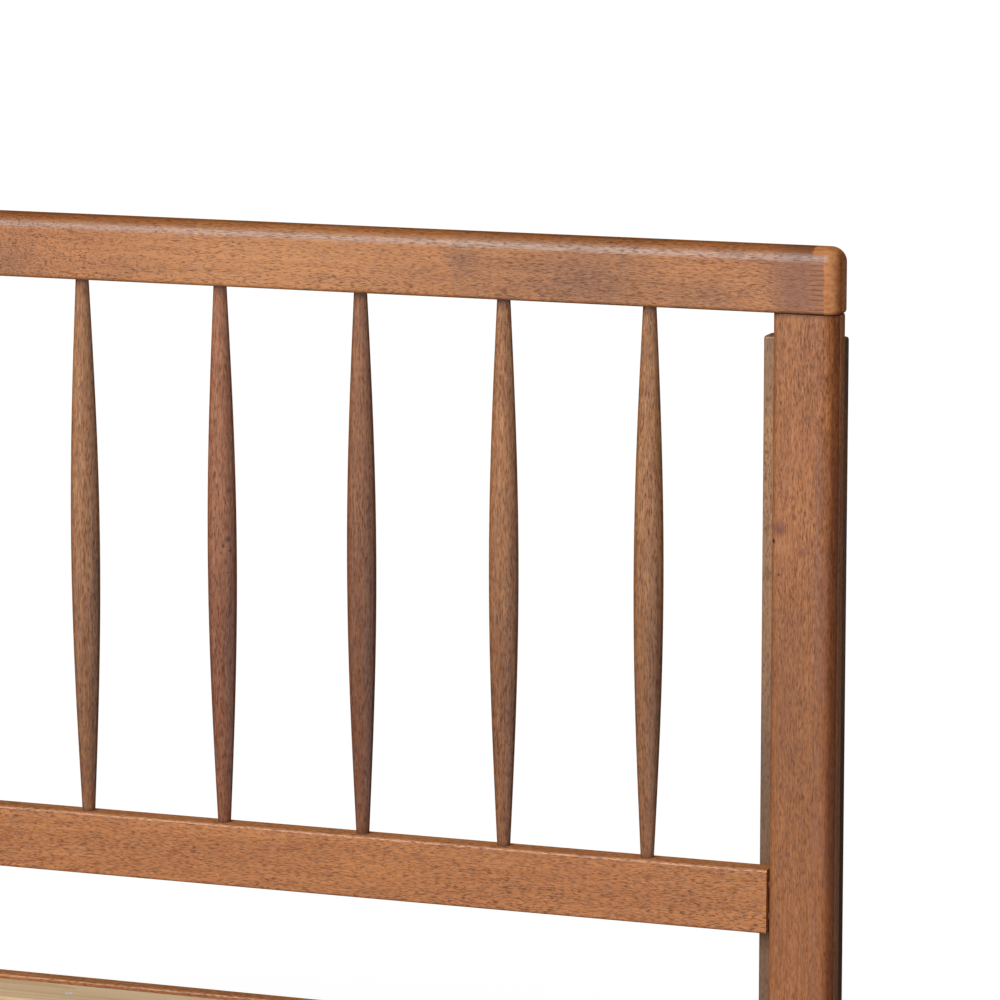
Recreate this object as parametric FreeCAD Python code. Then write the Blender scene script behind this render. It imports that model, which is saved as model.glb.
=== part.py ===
import FreeCAD, Part
import math
import os

# Queen-size wooden platform bed with a spindle headboard, built from its separate pieces.
# Millimetres. X runs across the bed, +Y points to the headboard, +Z is up.
# The origin is on the floor, in the middle of the whole bed.
# The sizes below set the bed. Every other place is worked out from them.

# Mattress that the platform takes, and the room round it
mattress_width = 1524.0
mattress_length = 2032.0
mattress_side_clearance = 8.0
mattress_end_clearance = 10.0
mattress_recess = 35.0

# Headboard: top rail with rounded top edges and rounded ends
bed_height = 1100.0
headboard_overhang = 27.0
top_rail_height = 66.0
top_rail_depth = 40.0
top_rail_rounding = 15.5
top_rail_lower_rounding = 4.0

# Headboard: posts under the top rail, and the lower rail between them
post_width = 70.0
post_depth = 26.0
post_front_rounding = 11.5
post_back_rounding = 7.0
post_inset = 1.5
post_reveal = 2.0
lower_rail_top = 470.0
lower_rail_height = 66.0
lower_rail_rounding = 3.0

# Headboard: barrel-shaped spindles, with a tenon at each end
spindle_count = 9
spindle_end_distance = 130.5
spindle_end_diameter = 13.5
spindle_middle_diameter = 30.3
spindle_curve_steps = 6
spindle_tenon_length = 24.0
spindle_tenon_chamfer = 1.0

# Boards behind the posts that stand on the floor and carry the headboard
leg_width = 82.0
leg_depth = 24.0
leg_rounding = 3.0
leg_inset = 4.0
leg_top_drop = 26.9
leg_bolt_margin = 60.0
leg_bolts_per_side = 3

# Platform: side rails, foot rail and the cross rail at the head
side_rail_depth = 25.0
side_rail_height = 140.0
side_rail_floor_distance = 180.0
side_rail_rounding = 6.0
foot_rail_depth = 30.0
foot_rail_overhang = 2.0
foot_rail_rounding = 10.0
cross_rail_depth = 20.0
cross_rail_height = 95.0
cross_rail_end_clearance = 1.0

# Foot legs inside the corners, tapered on their two inner sides below the rails
foot_leg_width = 50.0
foot_leg_toe_width = 34.0
foot_leg_rounding = 5.0
foot_leg_top_drop = 1.0

# Slats, the cleats that carry their ends and the beam under their middle
slat_count = 14
slat_width = 70.0
slat_thickness = 18.0
slat_rounding = 3.0
slat_side_clearance = 3.0
slat_end_gap = 14.0
cleat_width = 22.0
cleat_height = 30.0
cleat_end_gap = 8.0
beam_width = 35.0
beam_height = 60.0
beam_end_clearance = 1.0

# Steel hangers that hold the beam's two ends
hanger_thickness = 2.0
hanger_height = 48.0
hanger_seat_length = 36.0
hanger_flange_width = 24.0
hanger_clearance = 0.3

# Centre legs under the beam, with a levelling foot that screws into each
centre_leg_count = 3
centre_leg_width = 45.0
centre_leg_floor_gap = 25.0
stud_depth = 30.0
foot_pad_diameter = 36.0
foot_pad_height = 8.0
foot_pad_rounding = 2.0
foot_nut_width = 13.0
foot_nut_height = 5.0
foot_nut_gap = 2.0
foot_stem_length = 46.0

# Plastic glides under the four corner legs, each with a pin
glide_diameter = 22.0
glide_height = 4.0
glide_rounding = 1.0
glide_pin_diameter = 3.0
glide_pin_length = 14.0

# Connector bolts with flat heads, their threaded inserts and barrel nuts
bolt_diameter = 8.0
bolt_head_diameter = 17.0
bolt_head_height = 3.0
bolt_socket_width = 5.0
bolt_socket_depth = 2.0
bolt_hole_clearance = 0.5
thread_clearance = 0.05
insert_diameter = 12.0
insert_length = 15.0
barrel_nut_diameter = 14.0
barrel_nut_length = 18.0
barrel_nut_distance = 60.0
bolt_end_reach = 8.0
side_bolt_margin = 32.0
foot_bolt_to_side_shares = [0.20, 0.68]
foot_bolt_to_rail_shares = [0.38, 0.86]

# Wooden dowels: thick ones in the headboard, thin ones at the side rails' ends
dowel_diameter = 10.0
dowel_depth = 28.0
dowel_spacing = 32.0
thin_dowel_diameter = 8.0
thin_dowel_depth = 15.0
thin_dowel_spacing = 90.0
dowel_chamfer = 1.0

# Wood screws
screw_diameter = 4.0
screw_head_diameter = 8.0
screw_head_height = 2.4
screw_tip_length = 3.0
screw_depth = 14.0
slat_screw_edge_distance = 11.0
cleat_screws_per_side = 8
cleat_screw_end_distance = 60.0
cleat_screw_height_share = 0.35
hanger_screw_height_shares = [0.25, 0.75]
leg_screw_edge_distance = 20.0
leg_screw_tip_cover = 4.0

# Small allowances shared by all pieces
easing_rounding = 2.0
rounding_wall_share = 0.45
glued_clearance = 0.1
hole_bottom_gap = 1.0
cut_overrun = 5.0
same_place = 0.01
hexagon_sides = 6

X_AXIS = FreeCAD.Vector(1, 0, 0)
Y_AXIS = FreeCAD.Vector(0, 1, 0)
Z_AXIS = FreeCAD.Vector(0, 0, 1)
SIDES = {"left": -1, "right": 1}


def spread(first, last, count):
    """Evenly spaced places from the first to the last."""
    return [first + (last - first) * k / (count - 1) for k in range(count)]


# Places along the bed, from the foot to the head
bed_length = (foot_rail_depth + mattress_length + mattress_end_clearance
              + post_depth + leg_depth + bolt_head_height)
foot_rail_front = -bed_length / 2
foot_rail_back = foot_rail_front + foot_rail_depth
foot_leg_back = foot_rail_back + foot_leg_width
foot_leg_middle_y = foot_rail_back + foot_leg_width / 2
leg_back = bed_length / 2 - bolt_head_height
leg_front = leg_back - leg_depth
post_front = leg_front - post_depth
headboard_middle = (post_front + leg_front) / 2
cross_rail_front = leg_front - cross_rail_depth
barrel_nut_y = leg_front - barrel_nut_distance
beam_run = cross_rail_front - foot_rail_back
centre_leg_spacing = beam_run / (centre_leg_count + 1)
centre_leg_places = [foot_rail_back + centre_leg_spacing * (k + 1) for k in range(centre_leg_count)]
slat_places = spread(foot_leg_back + slat_end_gap + slat_width / 2,
                     cross_rail_front - slat_end_gap - slat_width / 2, slat_count)
cleat_start = foot_leg_back + cleat_end_gap
cleat_end = cross_rail_front - cleat_end_gap
cleat_screw_places = spread(cleat_start + cleat_screw_end_distance,
                            cleat_end - cleat_screw_end_distance, cleat_screws_per_side)

# Places across the bed, from the middle outwards
rail_inner = mattress_width / 2 + mattress_side_clearance
rail_outer = rail_inner + side_rail_depth
bolt_line = (rail_inner + rail_outer) / 2
foot_leg_inner = rail_inner - foot_leg_width
foot_leg_middle_x = rail_inner - foot_leg_width / 2
cleat_inner = rail_inner - cleat_width
slat_half = rail_inner - slat_side_clearance
slat_screw_lines = [slat_screw_edge_distance - rail_inner, 0, rail_inner - slat_screw_edge_distance]
top_rail_end = rail_outer + headboard_overhang
post_outer = top_rail_end - post_inset
post_inner = post_outer - post_width
post_centre = (post_inner + post_outer) / 2
post_dowel_lines = [post_centre - dowel_spacing / 2, post_centre + dowel_spacing / 2]
leg_outer = post_outer - leg_inset
leg_inner = leg_outer - leg_width
leg_screw_line = rail_inner - leg_screw_edge_distance
spindle_last = post_inner - spindle_end_distance
spindle_places = spread(-spindle_last, spindle_last, spindle_count)

# Heights
top_rail_bottom = bed_height - top_rail_height
leg_top = top_rail_bottom - leg_top_drop
side_rail_bottom = side_rail_floor_distance
side_rail_top = side_rail_bottom + side_rail_height
side_rail_middle = (side_rail_bottom + side_rail_top) / 2
post_bottom = side_rail_top + post_reveal
lower_rail_bottom = lower_rail_top - lower_rail_height
lower_rail_middle = (lower_rail_top + lower_rail_bottom) / 2
lower_dowel_heights = [lower_rail_middle - dowel_spacing / 2, lower_rail_middle + dowel_spacing / 2]
leg_bolt_heights = spread(post_bottom + leg_bolt_margin, leg_top - leg_bolt_margin, leg_bolts_per_side)
side_bolt_heights = [side_rail_bottom + side_bolt_margin, side_rail_top - side_bolt_margin]
thin_dowel_heights = [side_rail_middle - thin_dowel_spacing / 2, side_rail_middle + thin_dowel_spacing / 2]
slat_top = side_rail_top - mattress_recess
slat_bottom = slat_top - slat_thickness
cleat_bottom = slat_bottom - cleat_height
cleat_screw_height = cleat_bottom + cleat_height * cleat_screw_height_share
cross_rail_bottom = slat_top - cross_rail_height
leg_screw_heights = [cross_rail_bottom + leg_screw_edge_distance, slat_top - leg_screw_edge_distance]
beam_bottom = slat_bottom - beam_height
hanger_floor = beam_bottom - hanger_thickness
hanger_top = hanger_floor + hanger_height
foot_leg_top = slat_top - foot_leg_top_drop
bolted_height = foot_leg_top - side_rail_bottom
foot_bolt_to_side_heights = [side_rail_bottom + bolted_height * share for share in foot_bolt_to_side_shares]
foot_bolt_to_rail_heights = [side_rail_bottom + bolted_height * share for share in foot_bolt_to_rail_shares]
foot_lift_travel = centre_leg_floor_gap - foot_pad_height - foot_nut_height - foot_nut_gap
stem_top = foot_pad_height + foot_stem_length

# Lengths of the bolts and screws, and the depths of their holes
leg_bolt_length = leg_depth + insert_length
side_bolt_depth = barrel_nut_distance + bolt_end_reach
foot_bolt_length = foot_leg_width + insert_length
slat_screw_length = slat_thickness + screw_depth
cleat_screw_length = cleat_width + screw_depth
hanger_screw_length = hanger_thickness + screw_depth
leg_screw_length = leg_depth + cross_rail_depth - leg_screw_tip_cover
barrel_nut_room = (side_rail_depth + barrel_nut_length) / 2


def vector(x, y, z):
    return FreeCAD.Vector(x, y, z)


def block(x0, x1, y0, y1, z0, z1):
    """A box between two corners, given in any order."""
    low = vector(min(x0, x1), min(y0, y1), min(z0, z1))
    return Part.makeBox(abs(x1 - x0), abs(y1 - y0), abs(z1 - z0), low)


def rod(diameter, start, direction, length):
    return Part.makeCylinder(diameter / 2, length, start, direction)


def hexagon_bar(start, direction, width, length):
    """A six-sided bar, its width measured across the flats."""
    upright_bar = direction.cross(Z_AXIS).Length < same_place
    sideways = X_AXIS if upright_bar else Z_AXIS
    upright = direction.cross(sideways)
    corner_radius = width / 2 / math.cos(math.pi / hexagon_sides)
    corners = []
    for k in range(hexagon_sides):
        angle = 2 * math.pi * k / hexagon_sides
        across = sideways * (corner_radius * math.cos(angle))
        corners.append(start + across + upright * (corner_radius * math.sin(angle)))
    return Part.Face(Part.makePolygon(corners + corners[:1])).extrude(direction * length)


def edges_along(shape, axis):
    """The straight edges of a shape that run along an axis."""
    straight = [edge for edge in shape.Edges if isinstance(edge.Curve, Part.Line)]
    return [edge for edge in straight if edge.Curve.Direction.cross(axis).Length < same_place]


def edges_at_height(shape, height):
    """The edges of a shape that lie in the level plane at a height."""
    level = [edge for edge in shape.Edges if edge.BoundBox.ZLength < same_place]
    return [edge for edge in level if abs(edge.BoundBox.ZMin - height) < same_place]


def rounded(shape, edges, radius, wall):
    """Rounds edges, by no more than the wall that they belong to allows."""
    return shape.makeFillet(min(radius, wall * rounding_wall_share), edges)


def drill(shape, holes):
    """Takes round holes out of a shape. Each hole is (mouth, direction, diameter, depth)."""
    for mouth, direction, diameter, depth in holes:
        start = mouth - direction * cut_overrun
        shape = shape.cut(rod(diameter, start, direction, depth + cut_overrun))
    return shape


def save(name, pieces):
    """Writes one node, which holds one solid or a group of like solids."""
    for solid in pieces:
        if not solid.isValid() or len(solid.Solids) != 1:
            raise ValueError(name + " holds a bad solid")
    shape = pieces[0] if len(pieces) == 1 else Part.makeCompound(pieces)
    shape.exportStep(os.path.join("parts", name + ".step"))


# Dowels, bolts, inserts and screws, each with the hole that it needs


def dowel(centre, direction, diameter, depth):
    """A dowel that reaches one depth into the piece on each side of its centre."""
    pin = rod(diameter, centre - direction * depth, direction, 2 * depth)
    ends = [edge for edge in pin.Edges if isinstance(edge.Curve, Part.Circle)]
    return pin.makeChamfer(dowel_chamfer, ends)


def dowel_hole(centre, direction, diameter, depth):
    return (centre, direction, diameter + 2 * glued_clearance, depth + hole_bottom_gap)


def bolt(seat, direction, length):
    """A bolt whose flat head sits on a face at the seat and whose shank runs along the direction."""
    head_end = seat - direction * bolt_head_height
    head = rod(bolt_head_diameter, head_end, direction, bolt_head_height)
    shank = rod(bolt_diameter, head_end, direction, bolt_head_height + length)
    socket = hexagon_bar(head_end, direction, bolt_socket_width, bolt_socket_depth)
    return head.fuse(shank).removeSplitter().cut(socket)


def bolt_hole(seat, direction, depth):
    return (seat, direction, bolt_diameter + 2 * bolt_hole_clearance, depth)


def threaded_insert(mouth, direction):
    """A threaded insert that lies flush with a face and runs in along the direction."""
    sleeve = rod(insert_diameter, mouth, direction, insert_length)
    bore = bolt_diameter + 2 * thread_clearance
    return drill(sleeve, [(mouth, direction, bore, insert_length + cut_overrun)])


def insert_hole(mouth, direction):
    return (mouth, direction, insert_diameter + 2 * glued_clearance, insert_length + hole_bottom_gap)


def screw(seat, direction, length):
    """A countersunk wood screw whose head is flush with a face at the seat."""
    head = Part.makeCone(screw_head_diameter / 2, screw_diameter / 2, screw_head_height, seat, direction)
    neck = seat + direction * screw_head_height
    shank_length = length - screw_head_height - screw_tip_length
    shank = rod(screw_diameter, neck, direction, shank_length)
    tip = Part.makeCone(screw_diameter / 2, 0, screw_tip_length, neck + direction * shank_length, direction)
    return head.fuse([shank, tip]).removeSplitter()


def drill_for_screws(shape, seats, direction, length):
    """Takes out the countersunk holes of screws that go in at the seats, a glued fit larger all round."""
    head_radius = screw_head_diameter / 2 + glued_clearance
    shank_radius = screw_diameter / 2 + glued_clearance
    for seat in seats:
        head = Part.makeCone(head_radius, shank_radius, screw_head_height, seat, direction)
        shank = rod(2 * shank_radius, seat, direction, length + glued_clearance)
        shape = shape.cut(head.fuse(shank))
    return shape


# Where the bolts, screws and dowels go in


def leg_bolt_seats(side):
    """The bolts from the back of a headboard leg into its post."""
    return [vector(side * bolt_line, leg_back, z) for z in leg_bolt_heights]


def side_bolt_seats(side):
    """The bolts from the back of a headboard leg into its side rail."""
    return [vector(side * bolt_line, leg_back, z) for z in side_bolt_heights]


def leg_screw_seats(side):
    """The screws from the back of a headboard leg into the cross rail."""
    return [vector(side * leg_screw_line, leg_back, z) for z in leg_screw_heights]


def post_top_places(side):
    return [vector(side * x, headboard_middle, top_rail_bottom) for x in post_dowel_lines]


def lower_rail_end_places(side):
    return [vector(side * post_inner, headboard_middle, z) for z in lower_dowel_heights]


def side_rail_foot_places(side):
    return [vector(side * bolt_line, foot_rail_back, z) for z in thin_dowel_heights]


def side_rail_head_place(side):
    return vector(side * bolt_line, leg_front, side_rail_middle)


def cleat_screw_seats(side):
    return [vector(side * cleat_inner, y, cleat_screw_height) for y in cleat_screw_places]


def slat_screw_seats(lines, places):
    return [vector(x, y, slat_top) for x in lines for y in places]


def hanger_screw_seats(face, facing):
    """The four screws of the hanger on a rail's face, in the hanger's two flanges."""
    flange_middle = beam_width / 2 + hanger_clearance + hanger_thickness + hanger_flange_width / 2
    heights = [hanger_floor + hanger_height * share for share in hanger_screw_height_shares]
    y = face + facing * hanger_thickness
    return [vector(side * flange_middle, y, z) for side in SIDES.values() for z in heights]


# Headboard


def top_rail():
    """The top rail, its front, back and end edges rounded into one another."""
    front = headboard_middle - top_rail_depth / 2
    back = headboard_middle + top_rail_depth / 2
    bar = block(-top_rail_end, top_rail_end, front, back, top_rail_bottom, bed_height)
    soft_edges = edges_along(bar, Z_AXIS) + edges_at_height(bar, bed_height)
    bar = rounded(bar, soft_edges, top_rail_rounding, min(top_rail_depth, top_rail_height))
    bar = rounded(bar, edges_at_height(bar, top_rail_bottom), top_rail_lower_rounding, top_rail_depth)
    holes = [spindle_hole(x, top_rail_bottom, Z_AXIS) for x in spindle_places]
    for side in SIDES.values():
        holes += [dowel_hole(place, Z_AXIS, dowel_diameter, dowel_depth) for place in post_top_places(side)]
    return drill(bar, holes)


def lower_rail():
    """The rail that holds the spindles' lower ends, between the posts and flush with them."""
    bar = block(-post_inner, post_inner, post_front, leg_front, lower_rail_bottom, lower_rail_top)
    bar = rounded(bar, edges_along(bar, X_AXIS), lower_rail_rounding, post_depth)
    holes = [spindle_hole(x, lower_rail_top, -Z_AXIS) for x in spindle_places]
    for side in SIDES.values():
        for place in lower_rail_end_places(side):
            holes.append(dowel_hole(place, X_AXIS * -side, dowel_diameter, dowel_depth))
    return drill(bar, holes)


def spindle_hole(x, height, direction):
    """The blind hole in a rail's edge that a spindle's tenon is glued into."""
    return (vector(x, headboard_middle, height), direction,
            spindle_end_diameter + 2 * glued_clearance, spindle_tenon_length + hole_bottom_gap)


def spindle(x):
    """A turned spindle, swelling from its two thin ends to the middle, with a tenon at each end."""
    end_radius = spindle_end_diameter / 2
    tip_radius = end_radius - spindle_tenon_chamfer
    swell = (spindle_middle_diameter - spindle_end_diameter) / 2
    half = (top_rail_bottom - lower_rail_top) / 2
    middle = (top_rail_bottom + lower_rail_top) / 2
    curve_points = []
    for t in spread(-1, 1, spindle_curve_steps + 1):
        curve_points.append(vector(end_radius + swell * math.cos(math.pi * t / 2), 0, middle + half * t))
    low_tip = lower_rail_top - spindle_tenon_length
    high_tip = top_rail_bottom + spindle_tenon_length
    lower_end = Part.makePolygon([
        vector(0, 0, low_tip),
        vector(tip_radius, 0, low_tip),
        vector(end_radius, 0, low_tip + spindle_tenon_chamfer),
        curve_points[0],
    ])
    upper_end = Part.makePolygon([
        curve_points[-1],
        vector(end_radius, 0, high_tip - spindle_tenon_chamfer),
        vector(tip_radius, 0, high_tip),
        vector(0, 0, high_tip),
        vector(0, 0, low_tip),
    ])
    swelling = Part.BSplineCurve()
    swelling.interpolate(curve_points)
    outline = Part.Wire(lower_end.Edges + [swelling.toShape()] + upper_end.Edges)
    turned = Part.Face(outline).revolve(vector(0, 0, 0), Z_AXIS, 360)
    turned.translate(vector(x, headboard_middle, 0))
    return turned.Solids[0]


def post(side):
    """A headboard post, from just above the side rail to the top rail."""
    bar = block(side * post_inner, side * post_outer, post_front, leg_front, post_bottom, top_rail_bottom)
    front_edges = [edge for edge in edges_along(bar, Z_AXIS) if edge.BoundBox.YMax < headboard_middle]
    bar = rounded(bar, front_edges, post_front_rounding, post_depth)
    back_edges = [edge for edge in edges_along(bar, Z_AXIS) if edge.BoundBox.YMin > headboard_middle]
    bar = rounded(bar, back_edges, post_back_rounding, post_depth)
    ends = edges_at_height(bar, post_bottom) + edges_at_height(bar, top_rail_bottom)
    bar = rounded(bar, ends, easing_rounding, post_depth)
    holes = [dowel_hole(place, -Z_AXIS, dowel_diameter, dowel_depth) for place in post_top_places(side)]
    for place in lower_rail_end_places(side):
        holes.append(dowel_hole(place, X_AXIS * side, dowel_diameter, dowel_depth))
    for seat in leg_bolt_seats(side):
        holes.append(insert_hole(seat - Y_AXIS * leg_depth, -Y_AXIS))
    return drill(bar, holes)


def headboard_dowels():
    """The dowels between the posts and the top rail, and between the posts and the lower rail."""
    made = []
    for side in SIDES.values():
        made += [dowel(place, Z_AXIS, dowel_diameter, dowel_depth) for place in post_top_places(side)]
        made += [dowel(place, X_AXIS, dowel_diameter, dowel_depth) for place in lower_rail_end_places(side)]
    return made


def headboard_leg(side):
    """The board behind a post. It stands on the floor and carries the post and the side rail."""
    board = block(side * leg_inner, side * leg_outer, leg_front, leg_back, glide_height, leg_top)
    soft_edges = edges_along(board, Z_AXIS) + edges_at_height(board, leg_top)
    board = rounded(board, soft_edges, leg_rounding, leg_depth)
    holes = [bolt_hole(seat, -Y_AXIS, leg_depth + cut_overrun)
             for seat in leg_bolt_seats(side) + side_bolt_seats(side)]
    holes.append(dowel_hole(side_rail_head_place(side), Y_AXIS, thin_dowel_diameter, thin_dowel_depth))
    holes.append(glide_pin_hole(headboard_glide_place(side)))
    return drill_for_screws(drill(board, holes), leg_screw_seats(side), -Y_AXIS, leg_screw_length)


def headboard_bolts():
    """The bolts that hold the posts to the headboard legs."""
    seats = leg_bolt_seats(SIDES["left"]) + leg_bolt_seats(SIDES["right"])
    return [bolt(seat, -Y_AXIS, leg_bolt_length) for seat in seats]


# Side rails, and what joins them to the headboard legs


def side_rail(side):
    """A side rail, from the foot rail's back to the front of the headboard leg."""
    bar = block(side * rail_inner, side * rail_outer, foot_rail_back, leg_front,
                side_rail_bottom, side_rail_top)
    long_edges = edges_along(bar, Y_AXIS)
    upper = [edge for edge in long_edges if edge.CenterOfMass.z > side_rail_middle]
    bar = rounded(bar, upper, side_rail_rounding, side_rail_depth)
    long_edges = edges_along(bar, Y_AXIS)
    lower = [edge for edge in long_edges if edge.BoundBox.ZMax < side_rail_bottom + easing_rounding]
    bar = rounded(bar, lower, easing_rounding, side_rail_depth)
    holes = [dowel_hole(side_rail_head_place(side), -Y_AXIS, thin_dowel_diameter, thin_dowel_depth)]
    for place in side_rail_foot_places(side):
        holes.append(dowel_hole(place, Y_AXIS, thin_dowel_diameter, thin_dowel_depth))
    for z in side_bolt_heights:
        bolt_mouth = vector(side * bolt_line, leg_front, z)
        nut_mouth = vector(side * rail_inner, barrel_nut_y, z)
        holes.append(bolt_hole(bolt_mouth, -Y_AXIS, side_bolt_depth + hole_bottom_gap))
        holes.append((nut_mouth, X_AXIS * side, barrel_nut_diameter + 2 * glued_clearance, barrel_nut_room))
    for z in foot_bolt_to_side_heights:
        holes.append(insert_hole(vector(side * rail_inner, foot_leg_middle_y, z), X_AXIS * side))
    return drill_for_screws(drill(bar, holes), cleat_screw_seats(side), X_AXIS * side, cleat_screw_length)


def side_rail_bolts():
    """The long bolts through the headboard legs into the side rails' barrel nuts."""
    length = leg_depth + side_bolt_depth
    return [bolt(seat, -Y_AXIS, length) for side in SIDES.values() for seat in side_bolt_seats(side)]


def barrel_nut(side, z):
    """A barrel nut, centred in the side rail's thickness and open across for the bolt."""
    start = vector(side * bolt_line, barrel_nut_y, z) - X_AXIS * (barrel_nut_length / 2)
    nut = rod(barrel_nut_diameter, start, X_AXIS, barrel_nut_length)
    mouth = vector(side * bolt_line, barrel_nut_y + barrel_nut_diameter / 2, z)
    bore = bolt_diameter + 2 * thread_clearance
    return drill(nut, [(mouth, -Y_AXIS, bore, barrel_nut_diameter + cut_overrun)])


def side_rail_barrel_nuts():
    return [barrel_nut(side, z) for side in SIDES.values() for z in side_bolt_heights]


def side_rail_dowels():
    """The dowels that line the side rails up with the headboard legs and the foot rail."""
    made = []
    for side in SIDES.values():
        places = [side_rail_head_place(side)] + side_rail_foot_places(side)
        made += [dowel(place, Y_AXIS, thin_dowel_diameter, thin_dowel_depth) for place in places]
    return made


def slat_cleat(side):
    """The strip screwed along a side rail's inner face, which carries the slats' ends."""
    bar = block(side * cleat_inner, side * rail_inner, cleat_start, cleat_end, cleat_bottom, slat_bottom)
    bar = drill_for_screws(bar, cleat_screw_seats(side), X_AXIS * side, cleat_screw_length)
    end_line = slat_screw_lines[-1] * side
    return drill_for_screws(bar, slat_screw_seats([end_line], slat_places), -Z_AXIS, slat_screw_length)


def cleat_screws():
    return [screw(seat, X_AXIS * side, cleat_screw_length)
            for side in SIDES.values() for seat in cleat_screw_seats(side)]


# Foot rail and the legs in its corners


def foot_rail():
    """The rail across the side rails' foot ends, its front, top and end edges rounded."""
    half = rail_outer + foot_rail_overhang
    bar = block(-half, half, foot_rail_front, foot_rail_back, side_rail_bottom, side_rail_top)
    soft_edges = [edge for edge in edges_along(bar, Z_AXIS) + edges_at_height(bar, side_rail_top)
                  if edge.CenterOfMass.y < foot_rail_back - same_place]
    bar = rounded(bar, soft_edges, foot_rail_rounding, foot_rail_depth)
    bar = rounded(bar, edges_at_height(bar, side_rail_bottom), easing_rounding, foot_rail_depth)
    holes = []
    for side in SIDES.values():
        for place in side_rail_foot_places(side):
            holes.append(dowel_hole(place, -Y_AXIS, thin_dowel_diameter, thin_dowel_depth))
        for z in foot_bolt_to_rail_heights:
            holes.append(insert_hole(vector(side * foot_leg_middle_x, foot_rail_back, z), -Y_AXIS))
    bar = drill(bar, holes)
    return drill_for_screws(bar, hanger_screw_seats(foot_rail_back, 1), -Y_AXIS, hanger_screw_length)


def leg_section(side, width, z):
    """A level square with rounded corners, its outer sides against the side rail and the foot rail."""
    inner = side * (rail_inner - width)
    square = block(side * rail_inner, inner, foot_rail_back, foot_rail_back + width, z, z + width)
    square = rounded(square, edges_along(square, Z_AXIS), foot_leg_rounding, width)
    return [face for face in square.Faces if face.BoundBox.ZMax < z + same_place][0].OuterWire


def foot_leg(side):
    """A foot leg in its corner: straight behind the rails, tapered on its inner sides down to the toe."""
    sections = [
        leg_section(side, foot_leg_toe_width, glide_height),
        leg_section(side, foot_leg_width, side_rail_bottom),
        leg_section(side, foot_leg_width, foot_leg_top),
    ]
    leg = Part.makeLoft(sections, True, True)
    holes = [glide_pin_hole(foot_glide_place(side))]
    for z in foot_bolt_to_side_heights:
        seat = vector(side * foot_leg_inner, foot_leg_middle_y, z)
        holes.append(bolt_hole(seat, X_AXIS * side, foot_leg_width + cut_overrun))
    for z in foot_bolt_to_rail_heights:
        seat = vector(side * foot_leg_middle_x, foot_leg_back, z)
        holes.append(bolt_hole(seat, -Y_AXIS, foot_leg_width + cut_overrun))
    return drill(leg, holes)


def foot_leg_bolts():
    """The bolts from inside each foot leg into the side rail and the foot rail."""
    made = []
    for side in SIDES.values():
        for z in foot_bolt_to_side_heights:
            seat = vector(side * foot_leg_inner, foot_leg_middle_y, z)
            made.append(bolt(seat, X_AXIS * side, foot_bolt_length))
        for z in foot_bolt_to_rail_heights:
            seat = vector(side * foot_leg_middle_x, foot_leg_back, z)
            made.append(bolt(seat, -Y_AXIS, foot_bolt_length))
    return made


def threaded_inserts():
    """The threaded inserts in the posts, the side rails, the foot rail and the centre legs."""
    made = [threaded_insert(vector(0, y, centre_leg_floor_gap), Z_AXIS) for y in centre_leg_places]
    for side in SIDES.values():
        for seat in leg_bolt_seats(side):
            made.append(threaded_insert(seat - Y_AXIS * leg_depth, -Y_AXIS))
        for z in foot_bolt_to_side_heights:
            made.append(threaded_insert(vector(side * rail_inner, foot_leg_middle_y, z), X_AXIS * side))
        for z in foot_bolt_to_rail_heights:
            made.append(threaded_insert(vector(side * foot_leg_middle_x, foot_rail_back, z), -Y_AXIS))
    return made


# Cross rail at the head, centre beam and the hangers that hold the beam


def cross_rail():
    """The rail across the head of the platform, screwed to the front of the headboard legs."""
    half = rail_inner - cross_rail_end_clearance
    bar = block(-half, half, cross_rail_front, leg_front, cross_rail_bottom, slat_top)
    bar = rounded(bar, edges_along(bar, X_AXIS), easing_rounding, cross_rail_depth)
    for side in SIDES.values():
        bar = drill_for_screws(bar, leg_screw_seats(side), -Y_AXIS, leg_screw_length)
    return drill_for_screws(bar, hanger_screw_seats(cross_rail_front, -1), Y_AXIS, hanger_screw_length)


def cross_rail_screws():
    seats = leg_screw_seats(SIDES["left"]) + leg_screw_seats(SIDES["right"])
    return [screw(seat, -Y_AXIS, leg_screw_length) for seat in seats]


def beam_hanger(face, facing):
    """A bent steel shoe on a rail's face: a floor and two cheeks round the beam, and two flanges."""
    cheek_inner = beam_width / 2 + hanger_clearance
    cheek_outer = cheek_inner + hanger_thickness
    reach = face + facing * hanger_seat_length
    shoe = block(-cheek_outer, cheek_outer, face, reach, hanger_floor, beam_bottom)
    for side in SIDES.values():
        cheek = block(side * cheek_inner, side * cheek_outer, face, reach, hanger_floor, hanger_top)
        flange = block(side * cheek_inner, side * (cheek_outer + hanger_flange_width),
                       face, face + facing * hanger_thickness, hanger_floor, hanger_top)
        shoe = shoe.fuse([cheek, flange])
    shoe = shoe.removeSplitter()
    return drill_for_screws(shoe, hanger_screw_seats(face, facing), Y_AXIS * -facing, hanger_screw_length)


def beam_hanger_screws():
    foot_seats = hanger_screw_seats(foot_rail_back, 1)
    head_seats = hanger_screw_seats(cross_rail_front, -1)
    foot_end = [screw(seat, -Y_AXIS, hanger_screw_length) for seat in foot_seats]
    return foot_end + [screw(seat, Y_AXIS, hanger_screw_length) for seat in head_seats]


def centre_beam():
    """The beam under the slats' middle, from the foot rail to the cross rail."""
    bar = block(-beam_width / 2, beam_width / 2, foot_rail_back + beam_end_clearance,
                cross_rail_front - beam_end_clearance, beam_bottom, slat_bottom)
    stud_places = [vector(0, y, beam_bottom) for y in centre_leg_places]
    bar = drill(bar, [dowel_hole(place, Z_AXIS, bolt_diameter, stud_depth) for place in stud_places])
    return drill_for_screws(bar, slat_screw_seats([0], slat_places), -Z_AXIS, slat_screw_length)


# Centre legs and their levelling feet


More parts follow.
